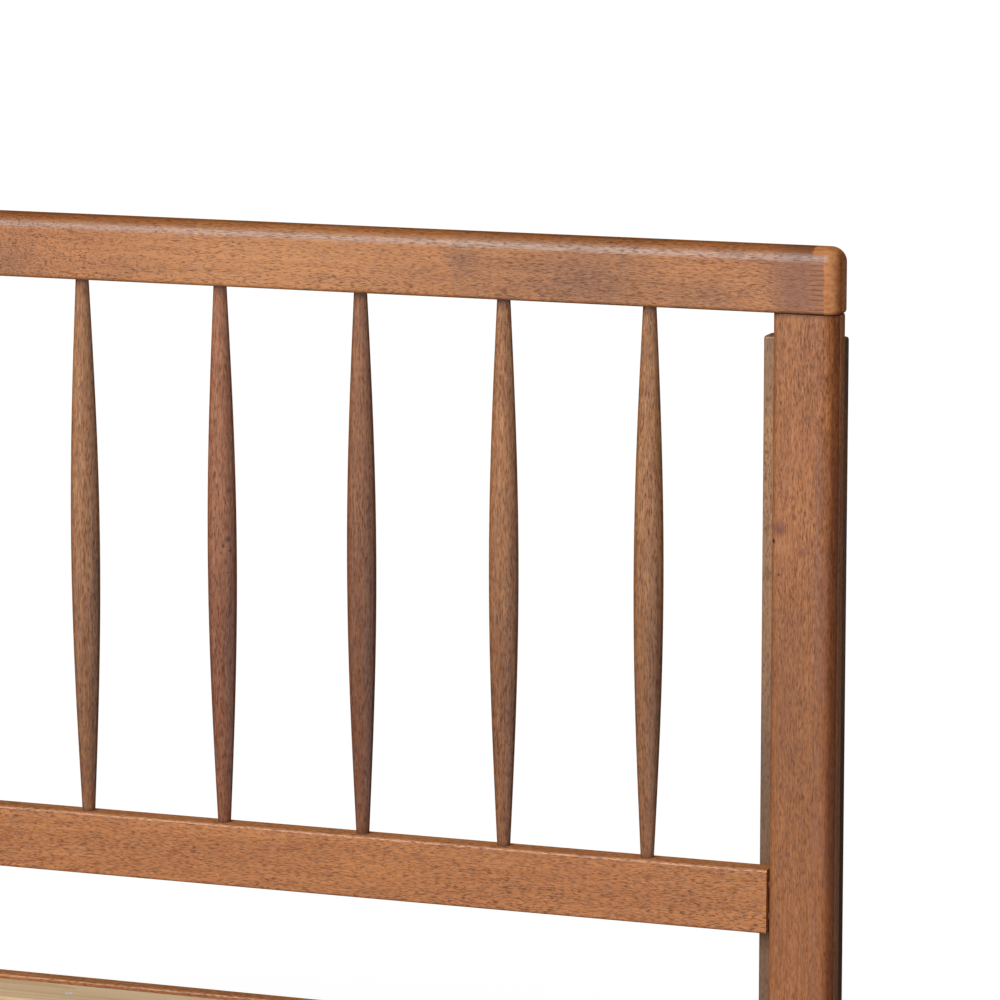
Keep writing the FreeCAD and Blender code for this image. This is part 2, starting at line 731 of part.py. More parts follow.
def centre_leg(y):
    """A square leg under the beam, with room in its bottom end for an insert and the foot's stem."""
    half = centre_leg_width / 2
    bar = block(-half, half, y - half, y + half, centre_leg_floor_gap, beam_bottom)
    bar = rounded(bar, edges_along(bar, Z_AXIS), easing_rounding, centre_leg_width)
    bottom = vector(0, y, centre_leg_floor_gap)
    stem_room = stem_top + foot_lift_travel + hole_bottom_gap - centre_leg_floor_gap
    holes = [
        dowel_hole(vector(0, y, beam_bottom), -Z_AXIS, bolt_diameter, stud_depth),
        insert_hole(bottom, Z_AXIS),
        bolt_hole(bottom, Z_AXIS, stem_room),
    ]
    return drill(bar, holes)


def centre_leg_studs():
    """The steel studs that stand in the centre legs' tops and go up into the beam."""
    return [dowel(vector(0, y, beam_bottom), Z_AXIS, bolt_diameter, stud_depth) for y in centre_leg_places]


def levelling_foot(y):
    """A foot that screws up and down in its centre leg: a round pad, a nut to turn it by and a stem."""
    pad = rod(foot_pad_diameter, vector(0, y, 0), Z_AXIS, foot_pad_height)
    pad = rounded(pad, edges_at_height(pad, foot_pad_height), foot_pad_rounding, foot_pad_height)
    nut = hexagon_bar(vector(0, y, foot_pad_height), Z_AXIS, foot_nut_width, foot_nut_height)
    stem = rod(bolt_diameter, vector(0, y, foot_pad_height), Z_AXIS, foot_stem_length)
    return pad.fuse([nut, stem]).removeSplitter()


# Slats


def slat(y):
    """A slat with rounded long edges, screwed to both cleats and to the beam."""
    board = block(-slat_half, slat_half, y - slat_width / 2, y + slat_width / 2, slat_bottom, slat_top)
    board = rounded(board, edges_along(board, X_AXIS), slat_rounding, slat_thickness)
    return drill_for_screws(board, slat_screw_seats(slat_screw_lines, [y]), -Z_AXIS, slat_screw_length)


def slat_screws():
    seats = slat_screw_seats(slat_screw_lines, slat_places)
    return [screw(seat, -Z_AXIS, slat_screw_length) for seat in seats]


# Glides under the corner legs


def foot_glide_place(side):
    return vector(side * (rail_inner - foot_leg_toe_width / 2), foot_rail_back + foot_leg_toe_width / 2, 0)


def headboard_glide_place(side):
    return vector(side * (leg_inner + leg_outer) / 2, (leg_front + leg_back) / 2, 0)


def glide_pin_hole(place):
    top = place + Z_AXIS * glide_height
    return (top, Z_AXIS, glide_pin_diameter + 2 * glued_clearance, glide_pin_length + hole_bottom_gap)


def glide(place):
    """A round glide with a rounded lower edge, and the pin that holds it in the leg's end."""
    disc = rod(glide_diameter, place, Z_AXIS, glide_height)
    disc = rounded(disc, edges_at_height(disc, 0), glide_rounding, glide_height)
    pin = rod(glide_pin_diameter, place + Z_AXIS * glide_height, Z_AXIS, glide_pin_length)
    return disc.fuse(pin)


def leg_glides():
    made = []
    for side in SIDES.values():
        made += [glide(foot_glide_place(side)), glide(headboard_glide_place(side))]
    return made


def build():
    os.makedirs("parts", exist_ok=True)
    save("headboard_top_rail", [top_rail()])
    save("headboard_lower_rail", [lower_rail()])
    for k, x in enumerate(spindle_places):
        save("headboard_spindle_%d" % (k + 1), [spindle(x)])
    for name, side in SIDES.items():
        save("headboard_post_" + name, [post(side)])
        save("headboard_leg_" + name, [headboard_leg(side)])
        save("side_rail_" + name, [side_rail(side)])
        save("slat_cleat_" + name, [slat_cleat(side)])
        save("foot_leg_" + name, [foot_leg(side)])
    save("headboard_dowels", headboard_dowels())
    save("headboard_bolts", headboard_bolts())
    save("side_rail_bolts", side_rail_bolts())
    save("side_rail_barrel_nuts", side_rail_barrel_nuts())
    save("side_rail_dowels", side_rail_dowels())
    save("cleat_screws", cleat_screws())
    save("foot_rail", [foot_rail()])
    save("foot_leg_bolts", foot_leg_bolts())
    save("threaded_inserts", threaded_inserts())
    save("cross_rail", [cross_rail()])
    save("cross_rail_screws", cross_rail_screws())
    save("beam_hanger_foot", [beam_hanger(foot_rail_back, 1)])
    save("beam_hanger_head", [beam_hanger(cross_rail_front, -1)])
    save("beam_hanger_screws", beam_hanger_screws())
    save("centre_beam", [centre_beam()])
    for k, y in enumerate(centre_leg_places):
        save("centre_leg_%d" % (k + 1), [centre_leg(y)])
        save("levelling_foot_%d" % (k + 1), [levelling_foot(y)])
    save("centre_leg_studs", centre_leg_studs())
    for k, y in enumerate(slat_places):
        save("slat_%d" % (k + 1), [slat(y)])
    save("slat_screws", slat_screws())
    save("leg_glides", leg_glides())


build()
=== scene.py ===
import math

import bmesh
import bpy
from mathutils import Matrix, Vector


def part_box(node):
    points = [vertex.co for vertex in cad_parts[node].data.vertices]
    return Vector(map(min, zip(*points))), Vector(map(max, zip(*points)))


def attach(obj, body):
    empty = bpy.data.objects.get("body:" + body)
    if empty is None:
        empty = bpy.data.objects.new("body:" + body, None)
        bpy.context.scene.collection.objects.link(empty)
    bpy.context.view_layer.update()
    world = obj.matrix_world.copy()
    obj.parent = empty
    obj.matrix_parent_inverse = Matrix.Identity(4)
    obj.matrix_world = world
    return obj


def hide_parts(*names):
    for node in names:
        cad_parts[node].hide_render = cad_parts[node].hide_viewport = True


# Looks of a platform bed with a spindle headboard, in metres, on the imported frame.
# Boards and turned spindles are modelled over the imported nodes, with the same sizes and places.

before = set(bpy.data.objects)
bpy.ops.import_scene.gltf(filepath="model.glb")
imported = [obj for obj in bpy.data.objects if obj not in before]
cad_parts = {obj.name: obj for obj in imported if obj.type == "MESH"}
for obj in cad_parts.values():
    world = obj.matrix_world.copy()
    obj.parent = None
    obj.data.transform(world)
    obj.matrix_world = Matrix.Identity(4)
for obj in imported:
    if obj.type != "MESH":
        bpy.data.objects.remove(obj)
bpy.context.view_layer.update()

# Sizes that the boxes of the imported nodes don't tell
LEG_BACK = 1.0595
LEG_OUTER = 0.8165
BOLT_LINE = 0.7825
RAIL_INNER = 0.770
HEAD_BOLT_HEIGHTS = [0.382, 0.664, 0.946]
SIDE_BOLT_HEIGHTS = [0.212, 0.288]
BARREL_NUT_Y = 0.9755
LEG_SCREW_LINE = 0.750
LEG_SCREW_HEIGHTS = [0.210, 0.265]
FOOT_LEG_WIDTH = 0.050
FOOT_LEG_TOE = 0.034
FOOT_LEG_SHOULDER = 0.180
FOOT_LEG_MIDDLE_Y = -1.0075
FOOT_LEG_MIDDLE_X = 0.745
FOOT_BOLT_SIDE_HEIGHTS = [0.2008, 0.25072]
FOOT_BOLT_RAIL_HEIGHTS = [0.21952, 0.26944]
HANGER_SCREW_LINE = 0.0318
HANGER_SCREW_HEIGHTS = [0.217, 0.241]
CLEAT_SCREW_HEIGHT = 0.2475
CLEAT_SCREW_ENDS = (-0.9145, 0.9475)
SLAT_SCREW_LINE = 0.759
CLEAT_SCREWS_PER_SIDE = 8
SLAT_COUNT = 14
CENTRE_LEG_COUNT = 3
SPINDLE_END = 0.00675
SPINDLE_MIDDLE = 0.01515
SPINDLE_TENON = 0.024
SPINDLE_TENON_CHAMFER = 0.001
SPINDLE_CURVE_STEPS = 32

# Roundings of the boards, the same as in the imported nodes
TOP_RAIL_ROUNDING = 0.0155
TOP_RAIL_LOWER_ROUNDING = 0.004
POST_FRONT_ROUNDING = 0.0115
POST_BACK_ROUNDING = 0.007
SIDE_RAIL_ROUNDING = 0.006
FOOT_RAIL_ROUNDING = 0.010
FOOT_LEG_ROUNDING = 0.005
BOARD_ROUNDING = 0.003
EASING = 0.002
FINE_EASING = 0.001
SLAT_END_EASING = 0.0006

# Screws, bolts and the holes for them
SCREW_HEAD_RADIUS = 0.004
SCREW_HEAD_HEIGHT = 0.0024
SCREW_RADIUS = 0.002
SCREW_TIP = 0.003
SLAT_SCREW_LENGTH = 0.032
CLEAT_SCREW_LENGTH = 0.036
LEG_SCREW_LENGTH = 0.040
HANGER_SCREW_LENGTH = 0.016
HANGER_THICKNESS = 0.002
BOLT_HEAD_RADIUS = 0.0085
BOLT_HEAD_HEIGHT = 0.003
BOLT_RADIUS = 0.004
BOLT_SOCKET_WIDTH = 0.005
BOLT_SOCKET_FLOOR = 0.001
HEAD_BOLT_LENGTH = 0.039
SIDE_BOLT_LENGTH = 0.092
FOOT_BOLT_LENGTH = 0.065

# Levelling feet and glides
PAD_RADIUS = 0.018
PAD_HEIGHT = 0.008
NUT_WIDTH = 0.013
NUT_BOTTOM = 0.0078
NUT_HEIGHT = 0.0052
METAL_EASING = 0.0005
THREAD_CREST = 0.004
THREAD_ROOT = 0.0034
THREAD_PITCH = 0.00125
GLIDE_RADIUS = 0.011
GLIDE_HEIGHT = 0.004
GLIDE_PIN_RADIUS = 0.0015
GLIDE_PIN_LENGTH = 0.014

# Camera, lights and surround
CAMERA_PLACE = (2.333, -4.0465, 1.739)
CAMERA_DOWN = 9.574
CAMERA_TURN = 20.27
CAMERA_LENS = 194.94
FRONT_LIGHT = {"azimuth": -8, "elevation": 31, "level": 0.965, "softness": 52}
BACK_LIGHT = {"azimuth": 168, "elevation": 14, "level": 0.42, "softness": 38}
FLOOR_TONE = 0.28
FLOOR_GLOW = 0.84
AMBIENT_LEVEL = 0.08

X, Y, Z = 0, 1, 2
NEAR = 0.00005
SIDES = ((-1, "left"), (1, "right"))


def spread(first, last, count):
    """Evenly spaced places from the first to the last."""
    return [first + (last - first) * k / (count - 1) for k in range(count)]


def box_middle(node):
    low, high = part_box(node)
    return (low + high) / 2


def deselect_all():
    bpy.ops.object.select_all(action="DESELECT")


def take_up(piece):
    """Makes one piece the selected and active one."""
    deselect_all()
    piece.select_set(True)
    bpy.context.view_layer.objects.active = piece


def settle():
    """Takes the selected piece's place, turn and size into its mesh."""
    bpy.ops.object.transform_apply(location=True, rotation=True, scale=True)


def name_piece(piece, name):
    piece.name = name
    piece.data.name = name
    return piece


def add_block(name, low, high):
    """A cube at the size and place of a box."""
    deselect_all()
    low, high = Vector(low), Vector(high)
    bpy.ops.mesh.primitive_cube_add(size=1, location=(low + high) / 2, scale=high - low)
    settle()
    return name_piece(bpy.context.active_object, name)


def add_rod(name, bottom, radius, length, sides=32):
    """An upright cylinder that stands on a point."""
    deselect_all()
    middle = Vector(bottom) + Vector((0, 0, length / 2))
    bpy.ops.mesh.primitive_cylinder_add(vertices=sides, radius=radius, depth=length, location=middle)
    settle()
    return name_piece(bpy.context.active_object, name)


def draw_up(name, x, y, rings, sides):
    """A round bar: a disc at the first ring, drawn up through the others, each (height, radius)."""
    deselect_all()
    height, radius = rings[0]
    bpy.ops.mesh.primitive_circle_add(vertices=sides, radius=radius, fill_type="NGON",
                                      location=(x, y, height))
    settle()
    bar = name_piece(bpy.context.active_object, name)
    bpy.ops.object.mode_set(mode="EDIT")
    bpy.ops.mesh.select_mode(type="FACE")
    bpy.ops.mesh.select_all(action="SELECT")
    for next_height, next_radius in rings[1:]:
        extrude_up(next_height - height)
        narrow(next_radius / radius, (x, y, next_height))
        height, radius = next_height, next_radius
    bpy.ops.mesh.select_all(action="SELECT")
    bpy.ops.mesh.normals_make_consistent(inside=False)
    bpy.ops.object.mode_set(mode="OBJECT")
    return bar


def extrude_up(length):
    """In edit mode, draws the selected faces up, or down if the length is below 0."""
    bpy.ops.mesh.extrude_region_move(TRANSFORM_OT_translate={"value": (0, 0, length)})


def narrow(share, centre):
    """In edit mode, narrows the selected faces about a centre to a share of their width."""
    bpy.ops.transform.resize(value=(share, share, 1), center_override=centre)


def select_edges(piece, wanted):
    """In edit mode, selects the edges whose two ends suit wanted(a, b)."""
    bpy.ops.mesh.select_mode(type="EDGE")
    bpy.ops.mesh.select_all(action="DESELECT")
    mesh = bmesh.from_edit_mesh(piece.data)
    for edge in mesh.edges:
        a, b = (corner.co for corner in edge.verts)
        edge.select_set(bool(wanted(a, b)))
    bmesh.update_edit_mesh(piece.data)


def select_faces(piece, wanted):
    """In edit mode, selects the faces that suit wanted(centre, normal)."""
    bpy.ops.mesh.select_mode(type="FACE")
    bpy.ops.mesh.select_all(action="DESELECT")
    mesh = bmesh.from_edit_mesh(piece.data)
    mesh.normal_update()
    for face in mesh.faces:
        face.select_set(bool(wanted(face.calc_center_median(), face.normal)))
    bmesh.update_edit_mesh(piece.data)


def round_edges(piece, wanted, radius, steps):
    """Bevels chosen edges round."""
    take_up(piece)
    bpy.ops.object.mode_set(mode="EDIT")
    select_edges(piece, wanted)
    bpy.ops.mesh.bevel(offset=radius, offset_type="OFFSET", segments=steps, profile=0.5, affect="EDGES")
    bpy.ops.object.mode_set(mode="OBJECT")


def runs_along(a, b, axis):
    step = b - a
    return abs(step[axis]) > 0.98 * step.length


def both_at(a, b, axis, place):
    return abs(a[axis] - place) < NEAR and abs(b[axis] - place) < NEAR


def apply_modifier(piece, kind, **settings):
    take_up(piece)
    modifier = piece.modifiers.new(kind.lower(), kind)
    for key, value in settings.items():
        setattr(modifier, key, value)
    bpy.ops.object.modifier_apply(modifier=modifier.name)


def cut_away(piece, cutters):
    """Takes closed cutter pieces out of a piece, and the cutters are gone afterwards."""
    cutter = join_pieces(cutters, piece.name + "_cutter")
    apply_modifier(piece, "BOOLEAN", operation="DIFFERENCE", solver="EXACT", object=cutter)
    bpy.data.objects.remove(cutter)


def join_pieces(parts, name):
    take_up(parts[0])
    for part in parts:
        part.select_set(True)
    if len(parts) > 1:
        bpy.ops.object.join()
    return name_piece(bpy.context.active_object, name)


def copy_piece(piece, name, shift=(0, 0, 0), turn=(0, 0, 0)):
    """A copy with its own mesh, turned about the origin and then moved."""
    copied = piece.copy()
    copied.data = piece.data.copy()
    bpy.context.scene.collection.objects.link(copied)
    name_piece(copied, name)
    take_up(copied)
    copied.rotation_euler = turn
    copied.location = shift
    settle()
    return copied


def copy_along(first, names, nodes, count, axis):
    """The first piece and a copy of it at each further node of its kind, along one axis."""
    row = [first]
    for k in range(2, count + 1):
        shift = Vector((0, 0, 0))
        shift[axis] = (box_middle(nodes % k) - box_middle(nodes % 1))[axis]
        row.append(copy_piece(first, names % k, shift))
    return row


def note_roundings(piece):
    """Keeps in the attribute "edge" where the wood is rounded off: 1 on roundings, 0 on flat faces."""
    mesh = bmesh.new()
    mesh.from_mesh(piece.data)
    mesh.normal_update()
    values = []
    for corner in mesh.verts:
        flat = [max(abs(part) for part in face.normal) > 0.998 for face in corner.link_faces]
        values.append(0.0 if any(flat) else 1.0)
    mesh.free()
    attribute = piece.data.attributes.new("edge", "FLOAT", "POINT")
    attribute.data.foreach_set("value", values)


def finish_board(piece, material, slot, *nodes, body="bed_frame", angle=40):
    """Smooths the roundings, keeps the flats flat, and puts the piece in its node's place."""
    note_roundings(piece)
    take_up(piece)
    bpy.ops.object.shade_smooth_by_angle(angle=math.radians(angle))
    apply_modifier(piece, "WEIGHTED_NORMAL", keep_sharp=True, weight=100, thresh=0.01)
    piece.data.materials.clear()
    piece.data.materials.append(material)
    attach(piece, body)
    if nodes:
        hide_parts(*nodes)
    return piece


def colour(red, green, blue):
    """A colour written as on a screen, 0 to 255, for a node."""
    def linear(value):
        value = value / 255
        return value / 12.92 if value <= 0.04045 else ((value + 0.055) / 1.055) ** 2.4
    return (linear(red), linear(green), linear(blue), 1.0)


class Finish:
    """A material while its nodes are put together."""

    def __init__(self, name):
        self.material = bpy.data.materials.new(name)
        self.material.use_nodes = True
        self.tree = self.material.node_tree
        self.shader = self.tree.nodes["Principled BSDF"]
        self.point = self.add("TexCoord").outputs["Object"]
        self.matt = None

    def add(self, kind, inputs=None, **settings):
        node = self.tree.nodes.new("ShaderNode" + kind)
        for key, value in settings.items():
            setattr(node, key, value)
        for key, value in (inputs or {}).items():
            self.put(node.inputs[key], value)
        return node

    def put(self, socket, value):
        if isinstance(value, bpy.types.NodeSocket):
            self.tree.links.new(value, socket)
        else:
            socket.default_value = value

    def place(self, point, origin, turn=(0, 0, 0), size=(1, 1, 1)):
        """The point as seen from an origin, turned, and counted in steps of a size."""
        return self.add("Mapping", {"Vector": point, "Location": origin, "Rotation": turn, "Scale": size},
                        vector_type="TEXTURE").outputs[0]

    def noise(self, point, scale, detail=2.0, roughness=0.5, colour_out=False):
        """Noise with so many grains a metre along, across and through."""
        scaled = self.add("VectorMath", {0: point, 1: scale}, operation="MULTIPLY").outputs[0]
        made = self.add("TexNoise", {"Vector": scaled, "Scale": 1.0, "Detail": detail,
                                     "Roughness": roughness})
        return made.outputs["Color" if colour_out else "Fac"]

    def between(self, value, low, high, to_low=0.0, to_high=1.0):
        """A value brought from one range to another, with soft ends, and kept inside it."""
        return self.add("MapRange", {"Value": value, "From Min": low, "From Max": high,
                                     "To Min": to_low, "To Max": to_high},
                        interpolation_type="SMOOTHSTEP").outputs[0]

    def math(self, operation, first, second=None, third=None):
        node = self.add("Math", {0: first}, operation=operation)
        for k, value in ((1, second), (2, third)):
            if value is not None:
                self.put(node.inputs[k], value)
        return node.outputs[0]

    def times(self, first, second):
        return self.math("MULTIPLY", first, second)

    def mix(self, factor, first, second):
        node = self.add("Mix", {0: factor, 6: first, 7: second}, data_type="RGBA", clamp_factor=True)
        return node.outputs[2]

    def coat(self, shade, factor, tone):
        """The shade under a coat of a tone, as thick as the factor, from 0 to 1."""
        return self.mix(factor, shade, colour(*tone))

    def spot(self, point, centre, radii):
        """A soft spot: 1 in the middle, 0 at its radii."""
        near = self.place(point, centre, size=radii)
        return self.add("TexGradient", {"Vector": near}, gradient_type="SPHERICAL").outputs["Fac"]

    def spots(self, places):
        """Soft spots (centre, radii) together, or none at all."""
        covered = 0.0
        for centre, radii in places:
            spot = self.spot(self.point, centre, radii)
            covered = self.math("MAXIMUM", covered, spot) if covered else spot
        return covered

    def blend(self, factor, first, second):
        """A number between two numbers."""
        return self.math("MULTIPLY_ADD", factor, self.math("SUBTRACT", second, first), first)

    def stain_and_shade(self, factor, shade, shares):
        """The shade darkened by shares of red, green and blue: for deeper staining and for painted shade."""
        deeper = self.add("VectorMath", {0: shade, 1: shares}, operation="MULTIPLY").outputs[0]
        return self.mix(factor, shade, deeper)

    def part_of(self, point, axis):
        return self.add("SeparateXYZ", {0: point}).outputs[axis]

    def aside(self, axis):
        """How far from the bed's middle plane, left and right alike."""
        return self.math("ABSOLUTE", self.part_of(self.point, axis))

    def push(self, point, noise, reach):
        """The point pushed across the grain by a coloured noise."""
        return self.add("VectorMath", {0: noise, 1: (0.0, reach, reach), 2: point},
                        operation="MULTIPLY_ADD").outputs[0]

    def year_rings(self, wood, rate):
        """Year rings about the pith: rising slowly, then falling at once."""
        return self.add("TexWave", {"Vector": wood, "Scale": rate, "Distortion": 0.0}, wave_type="RINGS",
                        rings_direction="X", wave_profile="SAW").outputs["Fac"]

    def feel(self, roughness, height, strength, distance):
        """Sets the roughness and the fine relief."""
        self.put(self.shader.inputs["Roughness"], roughness)
        bump = self.add("Bump", {"Height": height, "Strength": strength, "Distance": distance})
        self.put(self.shader.inputs["Normal"], bump.outputs[0])


# Turns that bring the grain's direction to a pattern's own X
GRAIN_TURNS = {"X": (0, 0, 0), "Y": (0, 0, math.pi / 2), "Z": (0, -math.pi / 2, 0)}

# Tones of the walnut stain, as on a screen: light and dark ground, ring lines, pores, purplish marks
# and rubbed edges
WALNUT = {
    "light": (202, 134, 83), "dark": (182, 117, 72), "ring": (161, 101, 62), "pore": (88, 52, 34),
    "mark": (141, 94, 70), "rubbed": (211, 150, 98),
}

# Tones of single places on the headboard
# A dark joint line with painted shadow where the top rail sits on the posts
SEAM_AND_SHADOW = (58, 34, 24)
DARK_RAIL_END = (132, 86, 66)
BLOCK_LIGHT, BLOCK_DARK = (203, 139, 90), (177, 115, 74)
GLUE_LINE = (108, 64, 44)
# Painted shade on the posts' lower parts
LOWER_POST_SHADE = (128, 84, 60)
OUTER_STAVE, STAVE_LINE = (138, 98, 84), (90, 56, 44)
PALE_ROUND_KNOT = (200, 140, 98)
KNOT, SECOND_KNOT, KNOT_HOLE, PIN_HOLE = (116, 70, 62), (120, 72, 54), (70, 42, 32), (66, 40, 32)
# Painted shade on the legs' lower parts, and the legs' greyer wood above the joint
LOWER_LEG_SHADE, UPPER_LEG = (122, 98, 80), (122, 98, 76)
# Stain with painted shadow at the spindles' shoulders where they meet the rails, and the lines left by
# turning
SHOULDER_STAIN_AND_SHADOW, TURNING_LINE = (84, 62, 50), (112, 76, 56)
PALE_SPINDLE, SPINDLE_KNOT = (196, 134, 96), (66, 38, 28)
SOFTWOOD_KNOT = (126, 80, 46)


def toned(tones, red=1.0, green=1.0, blue=1.0):
    """The same tones, lighter or darker in each colour."""
    shares = (red, green, blue)
    return {key: tuple(min(255, part * share) for part, share in zip(value, shares))
            for key, value in tones.items()}


def stained_wood(name, grain, pith, tones=WALNUT, fleck_share=0.70, fleck_rate=170.0, rub_share=0.20,
                 mottling=0.40, streaking=(9.0, 300.0, 0.30), gloss_fall=(0.20, 0.50), sheen=0.0, marks=(),
                 pale_spots=(), figure_spots=(), roughness=0.30, add_detail=None):
    """Satin stained wood: bent year rings about the pith, streaks, short dark flecks, pores and blotches.

    The pith is the tree's centre line, given as a point. The spots are (centre, radii): purplish marks, paler
    wood, and places where the grain is short and curly.
    """
    finish = Finish(name)
    local = finish.place(finish.point, pith, GRAIN_TURNS[grain])
    bent = finish.push(local, finish.noise(local, (2.3, 9.0, 9.0), detail=2.0, colour_out=True), 0.020)
    wobble = finish.noise(local, (30.0, 170.0, 170.0), detail=1.0, colour_out=True)
    wood = finish.push(bent, wobble, 0.0030)

    ground = finish.between(finish.noise(wood, (5.0, 34.0, 34.0), detail=3.0), 0.36, 0.66)
    ring_lines = finish.times(finish.between(finish.year_rings(wood, 44.0), 0.55, 1.0), 0.22)
    length_rate, width_rate, streak_share = streaking
    streak_noise = finish.noise(wood, (length_rate, width_rate, width_rate), detail=2.0)
    dark_streaks = finish.between(streak_noise, 0.42, 0.72, 0.0, streak_share)
    pale_streaks = finish.between(streak_noise, 0.46, 0.30, 0.0, streak_share)
    fibres = finish.noise(wood, (120.0, 1500.0, 1500.0), detail=1.0)
    crowd = finish.between(finish.noise(wood, (8.0, 30.0, 30.0), detail=2.0), 0.38, 0.66, 0.70, 1.0)
    pores = finish.between(finish.noise(wood, (150.0, 1150.0, 1150.0), detail=0.0), 0.60, 0.72)
    pores = finish.times(pores, crowd)
    figure = finish.spots(figure_spots)
    grain_noise = finish.noise(wood, (fleck_rate, 900.0, 900.0), detail=2.0, roughness=0.55)
    if figure_spots:
        curly = finish.noise(wood, (330.0, 720.0, 720.0), detail=1.5, roughness=0.55)
        grain_noise = finish.blend(figure, grain_noise, curly)
    flecks = finish.between(grain_noise, 0.50, 0.66)
    glints = finish.between(grain_noise, 0.48, 0.34)
    mottle = finish.noise(wood, (110.0, 230.0, 230.0), detail=1.0)
    blotches = finish.between(finish.noise(local, (6.0, 17.0, 17.0), detail=2.0), 0.56, 0.74, 0.0, 0.4)
    blotches = finish.math("MAXIMUM", blotches, finish.spots(marks))
    fleck_depth = finish.math("MULTIPLY_ADD", figure, 0.10, finish.times(crowd, fleck_share))
    edge = finish.add("Attribute", attribute_name="edge").outputs["Fac"]
    rub = finish.between(finish.noise(local, (14.0, 60.0, 60.0)), 0.40, 0.70, 0.0, rub_share)

    shade = finish.mix(ground, colour(*tones["light"]), colour(*tones["dark"]))
    for factor, tone in (
            (finish.times(finish.spots(pale_spots), 0.6), "rubbed"),
            (ring_lines, "ring"),
            (dark_streaks, "ring"),
            (pale_streaks, "rubbed"),
            (finish.times(blotches, 0.75), "mark"),
            (finish.between(fibres, 0.50, 0.75, 0.0, 0.25), "rubbed"),
            (finish.between(mottle, 0.50, 0.72, 0.0, mottling), "mark"),
            (finish.between(mottle, 0.46, 0.28, 0.0, 0.25), "light"),
            (finish.times(glints, 0.42), "rubbed"),
            (finish.times(flecks, fleck_depth), "pore"),
            (finish.times(pores, 0.6), "pore"),
            (finish.times(edge, rub), "rubbed")):
        shade = finish.coat(shade, factor, tones[tone])
    if add_detail:
        shade = add_detail(finish, shade, wood)
    finish.put(finish.shader.inputs["Base Color"], shade)

    gloss = finish.between(finish.math("ADD", pores, finish.times(ground, 0.3)),
                           0.0, 1.0, roughness - 0.03, roughness + 0.14)
    facing = finish.add("LayerWeight", {"Blend": 0.5}).outputs["Facing"]
    gloss = finish.math("MULTIPLY_ADD", edge, -0.05, gloss)
    gloss = finish.math("ADD", gloss, finish.between(facing, 0.25, 0.75, 0.0, 0.55))
    relief = finish.math("MULTIPLY_ADD", flecks, -0.5, finish.math("SUBTRACT", fibres, pores))
    finish.feel(gloss, relief, 0.30, 0.00025)
    level = finish.between(facing, *gloss_fall, 0.57, sheen)
    level = finish.times(level, finish.math("MULTIPLY_ADD", flecks, -0.6, 1.0))
    if finish.matt:
        level = finish.times(level, finish.math("SUBTRACT", 1.0, finish.matt))
    finish.put(finish.shader.inputs["Specular IOR Level"], level)
    return finish.material


# Places on the top rail's end, from the bed's middle, and the heights of its rounded shoulder, where shade is
# painted
STAVE_ENDS = (0.412, 0.690)
POST_INNER = 0.7505
BLOCK_START = 0.8070
INLAY_START = 0.7932
FINGERS_START = 0.7790
FINGER_PITCH = 0.00243
RAIL_END = 0.8220
SHOULDER_BOTTOM, SHOULDER_TOP = 1.0848, 1.0966
RAIL_SEAM, POST_SEAM = 1.0342, 1.0338


